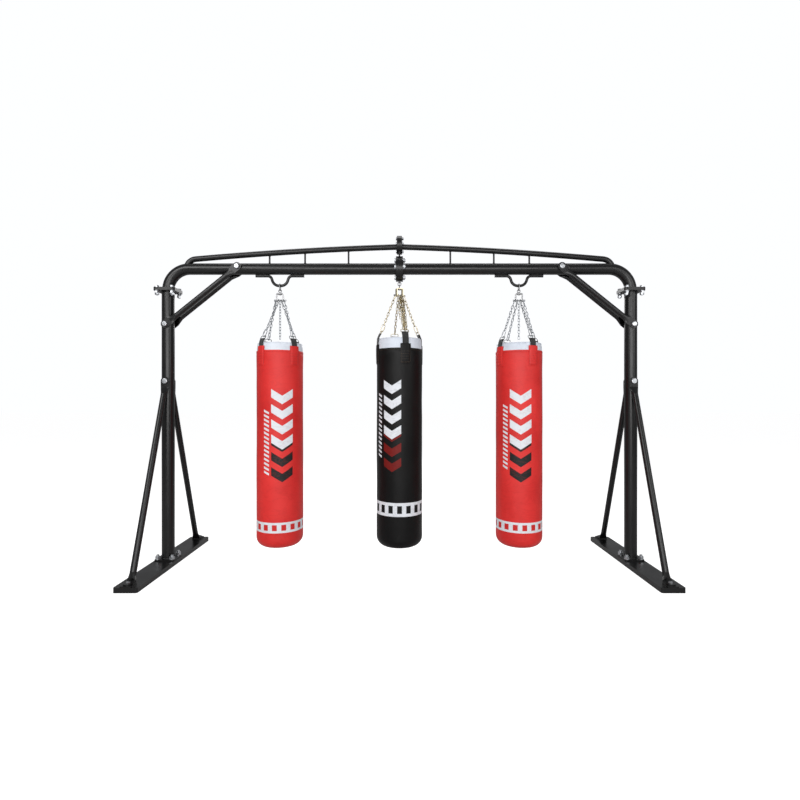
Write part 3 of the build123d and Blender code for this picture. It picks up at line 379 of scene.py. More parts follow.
def bag_prints(shift, foot, column, ticks, band, accent, lettering):
    """A chevron column in two colours, a row of ticks beside it, and the band with its blocks."""
    left, right = column[0] + shift, column[1] + shift
    low, split, high = foot, foot + COLUMN_SPLIT, foot + COLUMN_RISE
    chevrons = {"Left": left, "Right": right, "Centre": (left + right) / 2, "Slope": -0.62,
                "Turn": 0.0, "Pitch": 0.104, "Filled": 0.56}
    beside = {"Left": ticks[0] + shift, "Right": ticks[1] + shift, "Low": low + 0.03,
              "High": high - 0.16, "Centre": -FAR, "Slope": 0.45, "Turn": 0.0,
              "Pitch": 0.030, "Filled": 0.5}
    beside["Low"] += beside["Slope"] * FAR
    beside["High"] += beside["Slope"] * FAR
    ring = {"Left": -FAR, "Right": FAR, "Low": band[0], "High": band[1], "Centre": 0.0,
            "Slope": 0.0, "Turn": 0.0, "Pitch": 2 * FAR, "Filled": 1.0}
    margin = (band[1] - band[0]) * 0.22
    blocks = {**ring, "Low": band[0] + margin, "High": band[1] - margin, "Turn": 1.0,
              "Pitch": 0.064, "Filled": 0.52}
    return [({**chevrons, "Low": split, "High": high}, WHITE_INK),
            ({**chevrons, "Low": low, "High": split}, accent),
            (beside, WHITE_INK), (ring, WHITE_INK), (blocks, lettering)]


# each: column, ticks and band, as two edges in metres, then the accent and the blocks
RED_PRINTS = (-0.062, 0.090), (-0.118, -0.078), (0.255, 0.327), BLACK_INK, RED_INK
BLACK_PRINTS = (-0.118, 0.012), (-0.178, -0.140), (0.368, 0.463), DARK_RED_INK, BLACK_INK
# Each hide is deep tone, light tone, crease colour, roughness and gloss. The darker crease colour
# is painted shade in the creases.
RED_HIDE = ((0.62, 0.020, 0.018, 1), (0.76, 0.032, 0.028, 1), (0.36, 0.008, 0.007, 1), 0.42, 0.32)
BLACK_HIDE = ((0.0018, 0.0018, 0.0020, 1), (0.0040, 0.0036, 0.0034, 1),
              (0.0012, 0.0012, 0.0012, 1), 0.40, 0.19)
cover_finish = {
    "left": leathercloth("Cover_Red_Left", *RED_HIDE,
                         bag_prints(PRINT_TURN, RED_FOOT, *RED_PRINTS)),
    "middle": leathercloth("Cover_Black", *BLACK_HIDE,
                           bag_prints(0.0, BLACK_FOOT, *BLACK_PRINTS)),
    "right": leathercloth("Cover_Red_Right", *RED_HIDE,
                          bag_prints(-PRINT_TURN, RED_FOOT, *RED_PRINTS)),
}
red_hide = leathercloth("Hide_Red", *RED_HIDE)
black_hide = leathercloth("Hide_Black", *BLACK_HIDE)
# Its third colour darkens the collar's creases: painted shade.
collar_white = leathercloth("Collar_White", (0.62, 0.67, 0.76, 1), (0.78, 0.82, 0.88, 1),
                            (0.50, 0.52, 0.58, 1), 0.42, 0.4)
patch_finish = {"left": red_hide, "middle": black_hide, "right": red_hide}
cover_slot = {"left": "cover_red", "middle": "cover_black", "right": "cover_red"}
print("covers:", [m.name for m in cover_finish.values()])

# %% [markdown]
# ## Webbing and thread
# The chains pull on black nylon webbing: a tight weave with a dull sheen. The thread that holds
# the patches is thick, waxed and slightly lighter than the hide, or it would not be seen at all.

# %% Webbing and thread
webbing_black, web_tree, web_shader = start_material("Webbing_Black")
web_flat = wire(web_tree, "UVMap", uv_map="Flat").outputs["UV"]
web_weave = use_group(web_tree, weave_surface, {"Vector": web_flat, "Ribs": 620.0, "Picks": 420.0})
# The colour is darker in the weave's hollows and lighter on its raised threads: painted shade and
# highlight.
web_painted_shade_colour = mix_colours(web_tree, web_weave["Shade"], grey(0.004), grey(0.022))
web_bump = wire(web_tree, "Bump",
                {"Strength": 0.8, "Distance": 0.0005, "Height": web_weave["Height"]})
web_dull = calc(web_tree, "MULTIPLY_ADD", web_weave["Shade"], -0.15, 0.72)
dress_shader(web_tree, web_shader, web_painted_shade_colour, web_dull, web_bump)
web_shader.inputs["Sheen Weight"].default_value = 0.25


def thread(name, deep, light):
    """Waxed thread, with the twist of its strands as fine slanted lines."""
    material, tree, shader = start_material(name)
    spot = wire(tree, "TexCoord").outputs["Object"]
    twist = wire(tree, "TexWave", {"Vector": spot, "Scale": 900.0, "Distortion": 1.5},
                 bands_direction="DIAGONAL")
    bump = wire(tree, "Bump",
                {"Strength": 0.6, "Distance": 0.0002, "Height": twist.outputs["Fac"]})
    # The colour follows the twist: darker in the grooves between strands and lighter on their tops,
    # painted shade.
    dress_shader(tree, shader, mix_colours(tree, twist.outputs["Fac"], deep, light),
                 spread(tree, twist.outputs["Fac"], -1.2, 2.0), bump)
    return material


# Each thread gives its colour in the grooves, which is painted shade, and its colour on the
# strands.
thread_finish = {"left": thread("Thread_Red", (0.14, 0.003, 0.003, 1), (0.26, 0.006, 0.005, 1)),
                 "middle": thread("Thread_Brown", (0.07, 0.045, 0.028, 1), (0.17, 0.115, 0.07, 1))}
thread_finish["right"] = thread_finish["left"]
thread_white = thread("Thread_Grey", (0.30, 0.33, 0.38, 1), (0.46, 0.49, 0.54, 1))
print("webbing and", len(set(thread_finish.values())) + 1, "threads")

# %% [markdown]
# ## Dressing the CAD parts
# A CAD part whose shape is right only needs its finish. Every part is matched by the start of its
# name, and the loop says so if one is left without.

# %% Finishes of the CAD parts
FINISHES = {
    **dict.fromkeys(("base_plate", "post_l", "post_r", "beam", "rail", "hanger", "corner_brace_f",
                     "corner_brace_r", "brace_front", "brace_rear", "brace_pads",
                     "centre_plate"), frame_paint),
    **dict.fromkeys(("post_foot", "post_joint", "corner_brace_b", "base_brace", "brace_foot",
                     "centre_bolts"), bolt_zinc),
    **dict.fromkeys(("eye_bolt", "shackle", "swivel", "cross_bolt", "strap_rings"),
                    hanging_zinc),
    "chains": chain_zinc,
}


def finish_of(name):
    if name in ("chains_middle", "swivel_yoke_middle", "strap_rings_middle"):
        return chain_brass
    return next((made for start, made in FINISHES.items() if name.startswith(start)), None)


for name, part in nodes.items():
    made = finish_of(name)
    if made:
        part.data.materials.clear()
        part.data.materials.append(made)
soft_nodes = sorted(name for name in nodes if not finish_of(name))
print("dressed", len(nodes) - len(soft_nodes), "parts; to be modelled anew:", soft_nodes)

# %% [markdown]
# ## Helpers for shapes
# Four ways of making cover all the new pieces. A profile is spun round the bag's axis for the
# cover and collar. A flat band is bent into place for patches and webbing, and keeps its flat size
# as a UV map. A ring is a circle spun about an axis, for weld beads, piping and chain links. A
# stitch is a tiny stretched ball. Each piece ends as one object at the origin.

# %% Shape helpers
def keep_piece(name, shape, finish, body, slot):
    """Turns a bmesh into a smooth-shaded object that rides on a body."""
    mesh = bpy.data.meshes.new(name)
    shape.to_mesh(mesh)
    shape.free()
    mesh.materials.append(finish)
    mesh.polygons.foreach_set("use_smooth", [True] * len(mesh.polygons))
    piece = put_in_scene(name, mesh)
    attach(piece, body)
    return piece


def subdivide(piece):
    finer = piece.modifiers.new("Finer", "SUBSURF")
    finer.levels = finer.render_levels = 1


def thicken(piece, thickness, offset, edge=None):
    """Gives a flat piece its thickness and, where an edge width is given, softened edges."""
    thick = piece.modifiers.new("Thickness", "SOLIDIFY")
    thick.thickness = thickness
    thick.offset = offset
    if edge:
        soft_edge = piece.modifiers.new("Edge", "BEVEL")
        soft_edge.width = edge
        soft_edge.segments = 2
        soft_edge.limit_method = "ANGLE"


def spun(points, steps):
    """A profile of (radius, height) points, spun about the Z axis."""
    shape = bmesh.new()
    corners = [shape.verts.new((0, -radius, height)) for radius, height in points]
    sides = [shape.edges.new(pair) for pair in zip(corners, corners[1:])]
    bmesh.ops.spin(shape, geom=corners + sides, cent=(0, 0, 0), axis=(0, 0, 1), dvec=(0, 0, 0),
                   angle=2 * math.pi, steps=steps, use_merge=True)
    bmesh.ops.remove_doubles(shape, verts=shape.verts, dist=1e-6)
    bmesh.ops.recalc_face_normals(shape, faces=shape.faces)
    return shape


def bent_band(width, length, columns, rows, place):
    """A flat grid, width across and length along, bent so that each flat point goes to place."""
    shape = bmesh.new()
    bmesh.ops.create_grid(shape, x_segments=columns, y_segments=rows, size=0.5)
    bmesh.ops.scale(shape, vec=(width, length, 1), verts=shape.verts)
    flat_map = shape.loops.layers.uv.new("Flat")
    for face in shape.faces:
        for corner in face.loops:
            corner[flat_map].uv = corner.vert.co.xy
    for vert in shape.verts:
        vert.co = place(vert.co.x, vert.co.y)
    return shape


def round_ring(radius, wire_radius, steps, sides):
    """A ring round the Z axis, centred on the origin."""
    shape = bmesh.new()
    upright = Matrix.Translation((radius, 0, 0)) @ Matrix.Rotation(math.pi / 2, 4, "X")
    bmesh.ops.create_circle(shape, segments=sides, radius=wire_radius, matrix=upright)
    bmesh.ops.spin(shape, geom=shape.verts[:] + shape.edges[:], cent=(0, 0, 0), axis=(0, 0, 1),
                   dvec=(0, 0, 0), angle=2 * math.pi, steps=steps, use_merge=True)
    bmesh.ops.remove_doubles(shape, verts=shape.verts, dist=1e-6)
    bmesh.ops.recalc_face_normals(shape, faces=shape.faces)
    return shape


def gather(shapes_and_places):
    """One bmesh from several, each moved to its place."""
    whole = bmesh.new()
    for shape, place in shapes_and_places:
        copied = bpy.data.meshes.new("Copy")
        shape.to_mesh(copied)
        copied.transform(place)
        whole.from_mesh(copied)
        bpy.data.meshes.remove(copied)
    return whole


def facing(place, along, outward):
    """A matrix whose X runs along, whose Z points outward, and whose origin is at place."""
    along, outward = along.normalized(), outward.normalized()
    turned = Matrix((along, outward.cross(along), outward)).transposed().to_4x4()
    return Matrix.Translation(place) @ turned


def smooth_step(value, low, high):
    share = min(max((value - low) / (high - low), 0.0), 1.0)
    return share * share * (3 - 2 * share)


print("shape helpers ready")

# %% [markdown]
# ## Measuring the bags
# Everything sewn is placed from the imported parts. A bag's cover gives its axis, radius, foot and
# rim, the collar gives the upper edge, and the cross bolt gives the point that all straps pull
# towards. A filled bag is never a true cylinder: it is a little fuller near its foot and has
# shallow dents, so one function gives the skin's radius at any height and turn. Turns count from
# the front, towards the right.

# %% Bag sizes
BOTTOM_ROUND = 0.066
SAG = 0.0016                # fuller near the foot, slimmer near the rim
DENT = 0.0022
STRAP_TURNS = {"left": -39.0, "middle": 15.5, "right": -67.0}
LOOP_REACH = {"left": 0.024, "middle": 0.036, "right": 0.024}
RING_HEIGHT = 0.024


def measure_bag(side):
    low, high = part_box("cover_" + side)
    bolt_low, bolt_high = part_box("cross_bolt_" + side)
    return {"side": side, "body": "bag_" + side, "x": (low.x + high.x) / 2,
            "radius": (high.x - low.x) / 2, "foot": low.z, "rim": high.z,
            "edge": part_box("collar_" + side)[1].z, "pull": (bolt_low.z + bolt_high.z) / 2,
            "turns": [math.radians(STRAP_TURNS[side] + 90 * place) for place in range(4)]}


bags = [measure_bag(side) for side in ("left", "middle", "right")]


def skin_radius(bag, turn, height):
    """The cover's outside, dents included. It is the plain radius at the rim and the foot."""
    share = (height - bag["foot"]) / (bag["rim"] - bag["foot"])
    calm = smooth_step(share, 0.0, 0.12) * (1 - smooth_step(share, 0.90, 0.985))
    spot = Vector((math.sin(turn), -math.cos(turn), height * 2.2 + bag["x"] * 5))
    dents = noise.noise(spot * 1.3) * DENT + noise.noise(spot * 3.7) * DENT * 0.4
    return bag["radius"] + calm * (dents + SAG * (0.5 - share) - DENT * 0.5)


def on_bag(bag, turn, height, lift=0.0):
    """The point at that turn and height, lifted off the skin."""
    radius = skin_radius(bag, turn, height) + lift
    return Vector((bag["x"] + radius * math.sin(turn), -radius * math.cos(turn), height))


def outward(turn):
    return Vector((math.sin(turn), -math.cos(turn), 0))


def sideways(turn):
    return Vector((math.cos(turn), math.sin(turn), 0))


print("bags:", [(bag["side"], round(bag["x"], 3), round(bag["rim"], 3)) for bag in bags])

# %% [markdown]
# ## Covers
# The cover is a tube of leathercloth with a rounded foot and a folded hem at its rim, filled tight.
# It could be sculpted, but a spun profile keeps the hem crisp, and moving each point to the skin's
# radius afterwards gives the dents. It stands for the plain CAD cover and its filling. The wrap
# map is wound in metres, with the front at zero, and the face that crosses the back gets
# whichever side of the seam it is on.

# %% Covers
HEM = 0.020
TUCK_DEPTH = 0.017
COVER_RINGS = 44
COVER_STEPS = 96


def cover_profile(bag):
    radius, foot, rim = bag["radius"], bag["foot"], bag["rim"]
    flat = radius - BOTTOM_ROUND
    points = [(0, foot), (flat * 0.35, foot), (flat * 0.7, foot), (flat, foot)]
    for place in range(1, 9):
        turn = math.pi / 2 * place / 8
        points.append((flat + BOTTOM_ROUND * math.sin(turn),
                       foot + BOTTOM_ROUND * (1 - math.cos(turn))))
    start, end = foot + BOTTOM_ROUND, rim - HEM
    points += [(radius, start + (end - start) * place / COVER_RINGS)
               for place in range(1, COVER_RINGS + 1)]
    points += [(radius - 0.0016, end + 0.0015), (radius - 0.0002, end + 0.0035),
               (radius + 0.0002, end + 0.009), (radius, rim - 0.004),
               (radius - 0.0008, rim - 0.001), (radius - 0.0018, rim),
               (radius - 0.0027, rim - 0.001), (radius - 0.003, rim - 0.004),
               (radius - 0.0031, rim - TUCK_DEPTH), (radius - 0.012, rim - TUCK_DEPTH - 0.001),
               (radius * 0.5, rim - TUCK_DEPTH - 0.001), (0, rim - TUCK_DEPTH - 0.001)]
    return points


def wrap_map(shape, radius):
    """A UV map in metres: the distance round the bag from its front, and the height."""
    wrap = shape.loops.layers.uv.new("Wrap")
    for face in shape.faces:
        centre = face.calc_center_median()
        middle = math.atan2(centre.x, -centre.y)
        for corner in face.loops:
            turn = math.atan2(corner.vert.co.x, -corner.vert.co.y)
            turn += 2 * math.pi * round((middle - turn) / (2 * math.pi))
            corner[wrap].uv = (radius * turn, corner.vert.co.z)


def make_cover(bag):
    shape = spun(cover_profile(bag), COVER_STEPS)
    wrap_map(shape, bag["radius"])
    for vert in shape.verts:
        across = math.hypot(vert.co.x, vert.co.y)
        if across > bag["radius"] - 0.0005:
            turn = math.atan2(vert.co.x, -vert.co.y)
            grown = skin_radius(bag, turn, vert.co.z) / bag["radius"]
            vert.co.x *= grown
            vert.co.y *= grown
    bmesh.ops.translate(shape, vec=(bag["x"], 0, 0), verts=shape.verts)
    side = bag["side"]
    cover = keep_piece("Cover_" + side.title(), shape, cover_finish[side], bag["body"],
                       cover_slot[side])
    subdivide(cover)
    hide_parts("cover_" + side, "filling_" + side)
    return cover


for bag in bags:
    print(make_cover(bag).name, len(bpy.data.objects["Cover_" + bag["side"].title()].data.vertices))

# %% [markdown]
# ## Collars
# Above the hem a white collar closes the bag, gathered to a stud in the middle of its lid. The
# whole collar, wall, rolled edge and lid, is one closed profile spun round. Its pleats are a wave
# round the lid that dies out at the wall, and a second, weaker wave makes the rolled edge uneven.

# %% Collars
PLEATS = 26
PLEAT_DEPTH = 0.0022
LID_DEPTH = 0.014


def collar_profile(bag):
    outer, lean = bag["radius"] - 0.0033, bag["radius"] - 0.0085
    low, rim, edge = bag["rim"] - 0.016, bag["rim"], bag["edge"]
    lid = edge - LID_DEPTH
    middle = (rim + edge) / 2
    return [(outer - 0.003, low), (outer - 0.0005, low - 0.0002), (outer, low + 0.001),
            (outer, rim),
            ((outer + lean) / 2 + 0.001, middle), (lean + 0.0008, edge - 0.011),
            (lean - 0.0006, edge - 0.0095), (lean + 0.0009, edge - 0.0075),
            (lean + 0.0008, edge - 0.003), (lean - 0.0006, edge - 0.0006), (lean - 0.002, edge),
            (lean - 0.0035, edge - 0.001), (lean - 0.004, edge - 0.004),
            (lean - 0.0042, lid + 0.002), (lean - 0.006, lid), (0.13, lid + 0.001),
            (0.10, lid + 0.0005), (0.07, lid - 0.001), (0.045, lid - 0.002), (0.025, lid - 0.003),
            (0.010, lid - 0.004), (0, lid - 0.0045), (0, lid - 0.0075), (0.025, lid - 0.006),
            (0.07, lid - 0.004), (lean - 0.008, lid - 0.003), (lean - 0.0045, lid - 0.004),
            (outer - 0.003, rim), (outer - 0.003, low)]


def make_collar(bag):
    shape = spun(collar_profile(bag), 104)
    lid = bag["edge"] - LID_DEPTH
    for vert in shape.verts:
        across = math.hypot(vert.co.x, vert.co.y)
        turn = math.atan2(vert.co.x, -vert.co.y)
        gathered = smooth_step(across, 0.004, 0.03) * (1 - smooth_step(across, 0.06, 0.145))
        if vert.co.z < lid + 0.004 and across < 0.148:
            vert.co.z += gathered * PLEAT_DEPTH * math.sin(PLEATS * turn + 0.4 * math.sin(5 * turn))
        elif vert.co.z > bag["rim"] + 0.002:
            lift = noise.noise(Vector((math.sin(turn), math.cos(turn), bag["x"])) * 2.5)
            vert.co.z += 0.0014 * (lift - 0.6) * smooth_step(vert.co.z, lid, bag["edge"])
    bmesh.ops.translate(shape, vec=(bag["x"], 0, 0), verts=shape.verts)
    side = bag["side"]
    collar = keep_piece("Collar_" + side.title(), shape, collar_white, bag["body"], "collar_white")
    subdivide(collar)
    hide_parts("collar_" + side)
    stud_low = lid - 0.005
    stud = spun([(0, stud_low), (0.009, stud_low), (0.0105, stud_low + 0.0015),
                 (0.0095, stud_low + 0.0035), (0.0075, stud_low + 0.004),
                 (0.006, stud_low + 0.0052),
                 (0, stud_low + 0.0060)], 28)
    bmesh.ops.translate(stud, vec=(bag["x"], 0, 0), verts=stud.verts)
    keep_piece("Lid_Stud_" + side.title(), stud, bolt_zinc, bag["body"], "hanging_zinc")
    return collar


print("collars:", [make_collar(bag).name for bag in bags])

# %% [markdown]
# ## Webbing loops
# Each webbing is sewn flat on the bag, leans in over the collar, wraps the bar of its ring and
# comes back down inside the collar's edge. Its path is a line in the plane of the strap, given as
# distance from the bag's axis and height, with a half turn round the bar. The band follows it, and
# low on the bag its two edges drop back a little, because the surface under them is round.

# %% Webbing
WEBBING_WIDTH = 0.045
WEBBING_THICKNESS = 0.0024
RING_BAR = 0.0025
WEBBING_DROP = 0.098        # sewn length below the rim
LOOP_SPREAD = RING_BAR + 0.0004 + WEBBING_THICKNESS / 2


def strap_line(bag):
    """The point where a strap crosses the collar's edge, and its direction to the cross bolt."""
    start = Vector((bag["radius"] - 0.0052, bag["edge"] + 0.0025))
    return start, (Vector((0, bag["pull"])) - start).normalized()


def webbing_path(bag):
    start, pull = strap_line(bag)
    away = Vector((pull.y, -pull.x))
    bar = start + pull * LOOP_REACH[bag["side"]]
    face = bag["radius"] + WEBBING_THICKNESS / 2 + 0.0004
    path = [Vector((face, bag["rim"] - WEBBING_DROP)), Vector((face, bag["rim"] - 0.004)),
            Vector((face - 0.0006, bag["rim"] + 0.004)), start + away * WEBBING_THICKNESS * 0.5]
    for place in range(9):
        turn = math.pi * place / 8
        path.append(bar + (away * math.cos(turn) + pull * math.sin(turn)) * LOOP_SPREAD)
    path += [start - away * WEBBING_THICKNESS * 0.75 + pull * 0.003,
             Vector((start.x - 0.0088, start.y - 0.005)),
             Vector((start.x - 0.0090, start.y - 0.0145))]
    return path


def along_path(path, distance):
    """The point at that distance along a line of points, and the line's direction there."""
    for first, second in zip(path, path[1:]):
        run = (second - first).length
        if distance <= run or second is path[-1]:
            return first.lerp(second, distance / run), (second - first).normalized()
        distance -= run


def make_webbing(bag):
    path = webbing_path(bag)
    length = sum((second - first).length for first, second in zip(path, path[1:]))
    shapes = []
    for turn in bag["turns"]:
        out, aside = outward(turn), sideways(turn)

        def place(across, lengthwise):
            spot, _ = along_path(path, min(max(lengthwise + length / 2, 0.0), length))
            fallen = 1 - smooth_step(spot.y, bag["rim"], bag["edge"])
            drop = bag["radius"] - math.sqrt(bag["radius"] ** 2 - across ** 2)
            spot_out = spot.x - fallen * drop
            return Vector((bag["x"], 0, spot.y)) + out * spot_out + aside * across

        shapes.append(bent_band(WEBBING_WIDTH, length, 8, round(length / 0.003), place))
    whole = gather([(shape, Matrix.Identity(4)) for shape in shapes])
    side = bag["side"]
    webbing = keep_piece("Webbing_" + side.title(), whole, webbing_black, bag["body"],
                         "webbing_black")
    thicken(webbing, WEBBING_THICKNESS, 0.0, edge=0.0005)
    return webbing, length


for bag in bags:
    made, length = make_webbing(bag)
    print(made.name, "each", round(length, 3), "m long")

# %% [markdown]
# ## Patches
# A patch of the cover's own leathercloth is sewn over the foot of each webbing and stands a little
# above the rim. It could be a plain plate, but the real one drapes: it rises over the webbing and
# comes down to the skin on both sides. That rise is a function of the distance from its middle.

# %% Patches
PATCH_WIDTH = 0.075
PATCH_HEIGHT = 0.139
PATCH_STAND_UP = 0.030
PATCH_THICKNESS = 0.0018


def patch_lift(bag, across, height):
    """How far the patch's underside is off the skin."""
    start, _ = strap_line(bag)
    half, foot = WEBBING_WIDTH / 2, bag["rim"] - WEBBING_DROP
    over_webbing = 1 - smooth_step(abs(across), half - 0.0005, half + 0.007)
    webbing_foot = smooth_step(height, foot - 0.006, foot)
    lean = (bag["radius"] - start.x) / (bag["edge"] - bag["rim"])
    return (0.0005 + over_webbing * webbing_foot * (WEBBING_THICKNESS + 0.0004)
            - lean * max(0.0, height - bag["rim"]) * 0.6)


def make_patches(bag):
    top = bag["rim"] + PATCH_STAND_UP
    shapes = []
    for turn in bag["turns"]:

        def place(across, lengthwise):
            height = top - PATCH_HEIGHT / 2 + lengthwise
            return on_bag(bag, turn + across / bag["radius"], height,
                          patch_lift(bag, across, height))

        shapes.append(bent_band(PATCH_WIDTH, PATCH_HEIGHT, 30, 36, place))
    whole = gather([(shape, Matrix.Identity(4)) for shape in shapes])
    side = bag["side"]
    patches = keep_piece("Strap_Patches_" + side.title(), whole, patch_finish[side], bag["body"],
                         cover_slot[side])
    thicken(patches, PATCH_THICKNESS, 1.0, edge=0.0006)
    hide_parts("straps_" + side)
    return patches


print("patches:", [make_patches(bag).name for bag in bags])

# %% [markdown]
# ## Seams and stitches
# A bag's cover is closed by a lapped seam down its back, and its round base is set in with piping.
# Rows of thread hold the hem, the collar's edge, the lap and the patches. Bump could fake them, but
# real stitches catch the light. There are hundreds, so each is a stretched ball of twenty faces.

# %% Back lap and piping
LAP_WIDTH = 0.024
LAP_THICKNESS = 0.0012


def make_back_lap(bag):
    low, high = bag["foot"] + BOTTOM_ROUND, bag["rim"] - HEM

    def place(across, lengthwise):
        height = (low + high) / 2 + lengthwise
        return on_bag(bag, math.pi + across / bag["radius"], height, 0.0001)

    shape = bent_band(LAP_WIDTH, high - low, 6, 90, place)
    lap = keep_piece("Back_Lap_" + bag["side"].title(), shape, patch_finish[bag["side"]],
                     bag["body"], cover_slot[bag["side"]])
    thicken(lap, LAP_THICKNESS, 1.0)
    return lap


def make_piping(bag):
    shape = round_ring(bag["radius"] - BOTTOM_ROUND, 0.0026, 96, 10)
    bmesh.ops.translate(shape, vec=(bag["x"], 0, bag["foot"] + 0.0006), verts=shape.verts)
    return keep_piece("Base_Piping_" + bag["side"].title(), shape, patch_finish[bag["side"]],
                      bag["body"], cover_slot[bag["side"]])


for bag in bags:
    print(make_back_lap(bag).name, make_piping(bag).name)

# %% Stitches
STITCH_LENGTH = 0.0056
STITCH_PITCH = 0.0080
STITCH_WIDTH = 0.0016
PATCH_ROWS = (0.007, 0.013, 0.031, 0.049, 0.067, 0.085)     # above the patch's foot
PATCH_MARGIN = 0.006
PATCH_SIDE_STITCHES = 12


def sew(stitches, name, finish, bag, slot):
    """One object from a list of (place, along, outward) stitches."""
    shape = bmesh.new()
    ball = Matrix.Diagonal((STITCH_LENGTH / 2, STITCH_WIDTH / 2, STITCH_WIDTH / 2, 1))
    for place, along, out in stitches:
        bmesh.ops.create_icosphere(shape, subdivisions=1, radius=1,
                                   matrix=facing(place, along, out) @ ball)
    return keep_piece(name, shape, finish, bag["body"], slot)


def ring_stitches(bag, height, radius):
    count = round(2 * math.pi * radius / STITCH_PITCH)
    turns = [2 * math.pi * place / count for place in range(count)]
    return [(Vector((bag["x"], 0, height)) + outward(turn) * radius, sideways(turn), outward(turn))
            for turn in turns]


def lap_stitches(bag):
    low, high = bag["foot"] + BOTTOM_ROUND, bag["rim"] - HEM
    rows = [math.pi + shift / bag["radius"] for shift in (-LAP_WIDTH * 0.32, LAP_WIDTH * 0.32)]
    heights = [low + STITCH_PITCH * place for place in range(1, int((high - low) / STITCH_PITCH))]
    return [(on_bag(bag, turn, height, LAP_THICKNESS + 0.0003), Vector((0, 0, 1)), outward(turn))
            for turn in rows for height in heights]


def patch_stitches(bag):
    """Six rows across each patch, and one up each of its sides."""
    top = bag["rim"] + PATCH_STAND_UP
    foot = top - PATCH_HEIGHT
    half = PATCH_WIDTH / 2 - PATCH_MARGIN
    spots = [(-half + STITCH_PITCH * place, foot + rise, True)
             for rise in PATCH_ROWS
             for place in range(int(2 * half / STITCH_PITCH) + 1)]
    spots += [(side * half, foot + PATCH_ROWS[1] + STITCH_PITCH * place, False)
              for side in (-1, 1) for place in range(PATCH_SIDE_STITCHES)]
    found = []
    for centre in bag["turns"]:
        for across, height, level in spots:
            turn = centre + across / bag["radius"]
            lift = patch_lift(bag, across, height) + PATCH_THICKNESS + 0.0002
            along = sideways(turn) if level else Vector((0, 0, 1))
            found.append((on_bag(bag, turn, height, lift), along, outward(turn)))
    return found


for bag in bags:
    side = bag["side"]
    hem_rows = ring_stitches(bag, bag["rim"] - HEM + 0.0075, bag["radius"] + 0.0004)
    sewn = hem_rows + lap_stitches(bag) + patch_stitches(bag)
    sew(sewn, "Stitches_" + side.title(), thread_finish[side], bag, cover_slot[side])
    edge_row = ring_stitches(bag, bag["edge"] - 0.0058, bag["radius"] - 0.0075)
    sew(edge_row, "Collar_Stitches_" + side.title(), thread_white, bag, "collar_white")
    print(side, len(sewn) + len(edge_row), "stitches")

# %% [markdown]
# ## Spare chain
# Every bag has more chain than it needs. The side bags let one spare strand hang down in the
# middle. The middle bag's is bunched before its front chain: seven strands start close together,
# bulge, and draw in again. A link could be swept along an oval, but it is quicker to take a round
# ring and pull its two halves apart. Each link is turned a quarter from the last, and a small sway
# makes the strands hang like loose chain.

# %% Spare chain
LINK_WIRE = 0.0021
LINK_RADIUS = 0.0066
LINK_STRETCH = 0.0060
LINK_PITCH = 2 * (LINK_RADIUS + LINK_STRETCH - LINK_WIRE)
BUNCH = ((-0.021, 0.004), (-0.014, 0.013), (-0.007, 0.019), (0.000, 0.012), (0.007, 0.020),
         (0.014, 0.013), (0.021, 0.006))
BUNCH_SWAY = 0.0035


def chain_link():
    link = round_ring(LINK_RADIUS, LINK_WIRE, 18, 7)
    for vert in link.verts:
        vert.co.x += math.copysign(LINK_STRETCH, vert.co.x)
    return link


def bunched_strand(bag, strand, aside, forward):
    """The places of one strand's links, beside the front chain."""
    start, pull = strap_line(bag)
    bow = start + pull * (LOOP_REACH[bag["side"]] + RING_HEIGHT)
    turn = bag["turns"][0]
    low = Vector((bag["x"], 0, bow.y)) + outward(turn) * bow.x
    high = Vector((bag["x"], 0, bag["pull"])) + outward(turn) * 0.016
    run = low - high
    count = int(run.length / LINK_PITCH)
    places = []
    for number in range(count - strand % 3):
        share = (number + 0.7 + 0.17 * strand) / count
        bulge = (0.35 + 0.65 * smooth_step(share, 0.0, 0.3)
                 - 0.35 * smooth_step(share, 0.5, 0.8))
        sway = math.sin(2.6 * math.pi * share + strand * 1.3) * BUNCH_SWAY
        spot = (high + run * share + sideways(turn) * (aside * bulge + sway)
                + outward(turn) * (forward * bulge + sway * 0.6))
        quarter = Matrix.Rotation(math.pi / 2 * (number % 2) + 0.5 + 0.4 * strand, 4, "X")
        places.append(facing(spot, run, outward(turn)) @ quarter)
    return places


def hanging_strand(bag):
    """One strand straight down from the cross bolt to just above the collar."""
    drop = bag["pull"] - bag["edge"]
    return [facing(Vector((bag["x"], 0, bag["pull"] - LINK_PITCH * (number + 0.75))),
                   Vector((0, 0, -1)), outward(0))
            @ Matrix.Rotation(math.pi / 2 * (number % 2) + 0.6, 4, "X")
            for number in range(int(drop / LINK_PITCH) - 1)]


link = chain_link()
for bag in bags:
    if bag["side"] == "middle":
        places = [place for strand, (aside, forward) in enumerate(BUNCH)
                  for place in bunched_strand(bag, strand, aside, forward)]
        finish, slot = chain_brass, "chain_brass"
    else:
        places, finish, slot = hanging_strand(bag), chain_zinc, "chain_zinc"
    spare = keep_piece("Spare_Chain_" + bag["side"].title(),
                       gather([(link, place) for place in places]), finish, bag["body"], slot)
    print(spare.name, len(places), "links")
link.free()

# %% [markdown]
# ## Weld beads
# Tubes meet plates in fillet welds, which show as a low rippled ring under the paint. A bead is a
# thin ring about the tube's axis, with every few degrees swollen a little, as a welder's hand
# leaves it. The places come from the boxes of the parts that the weld joins.

# %% Weld beads
BEAD = 0.0042
RIPPLE = 0.0007
RIPPLE_PITCH = 0.0062
BEAD_STEP = 0.0024
STRUT_BEAD_RISE = 0.0012    # bead's middle above the strut's end


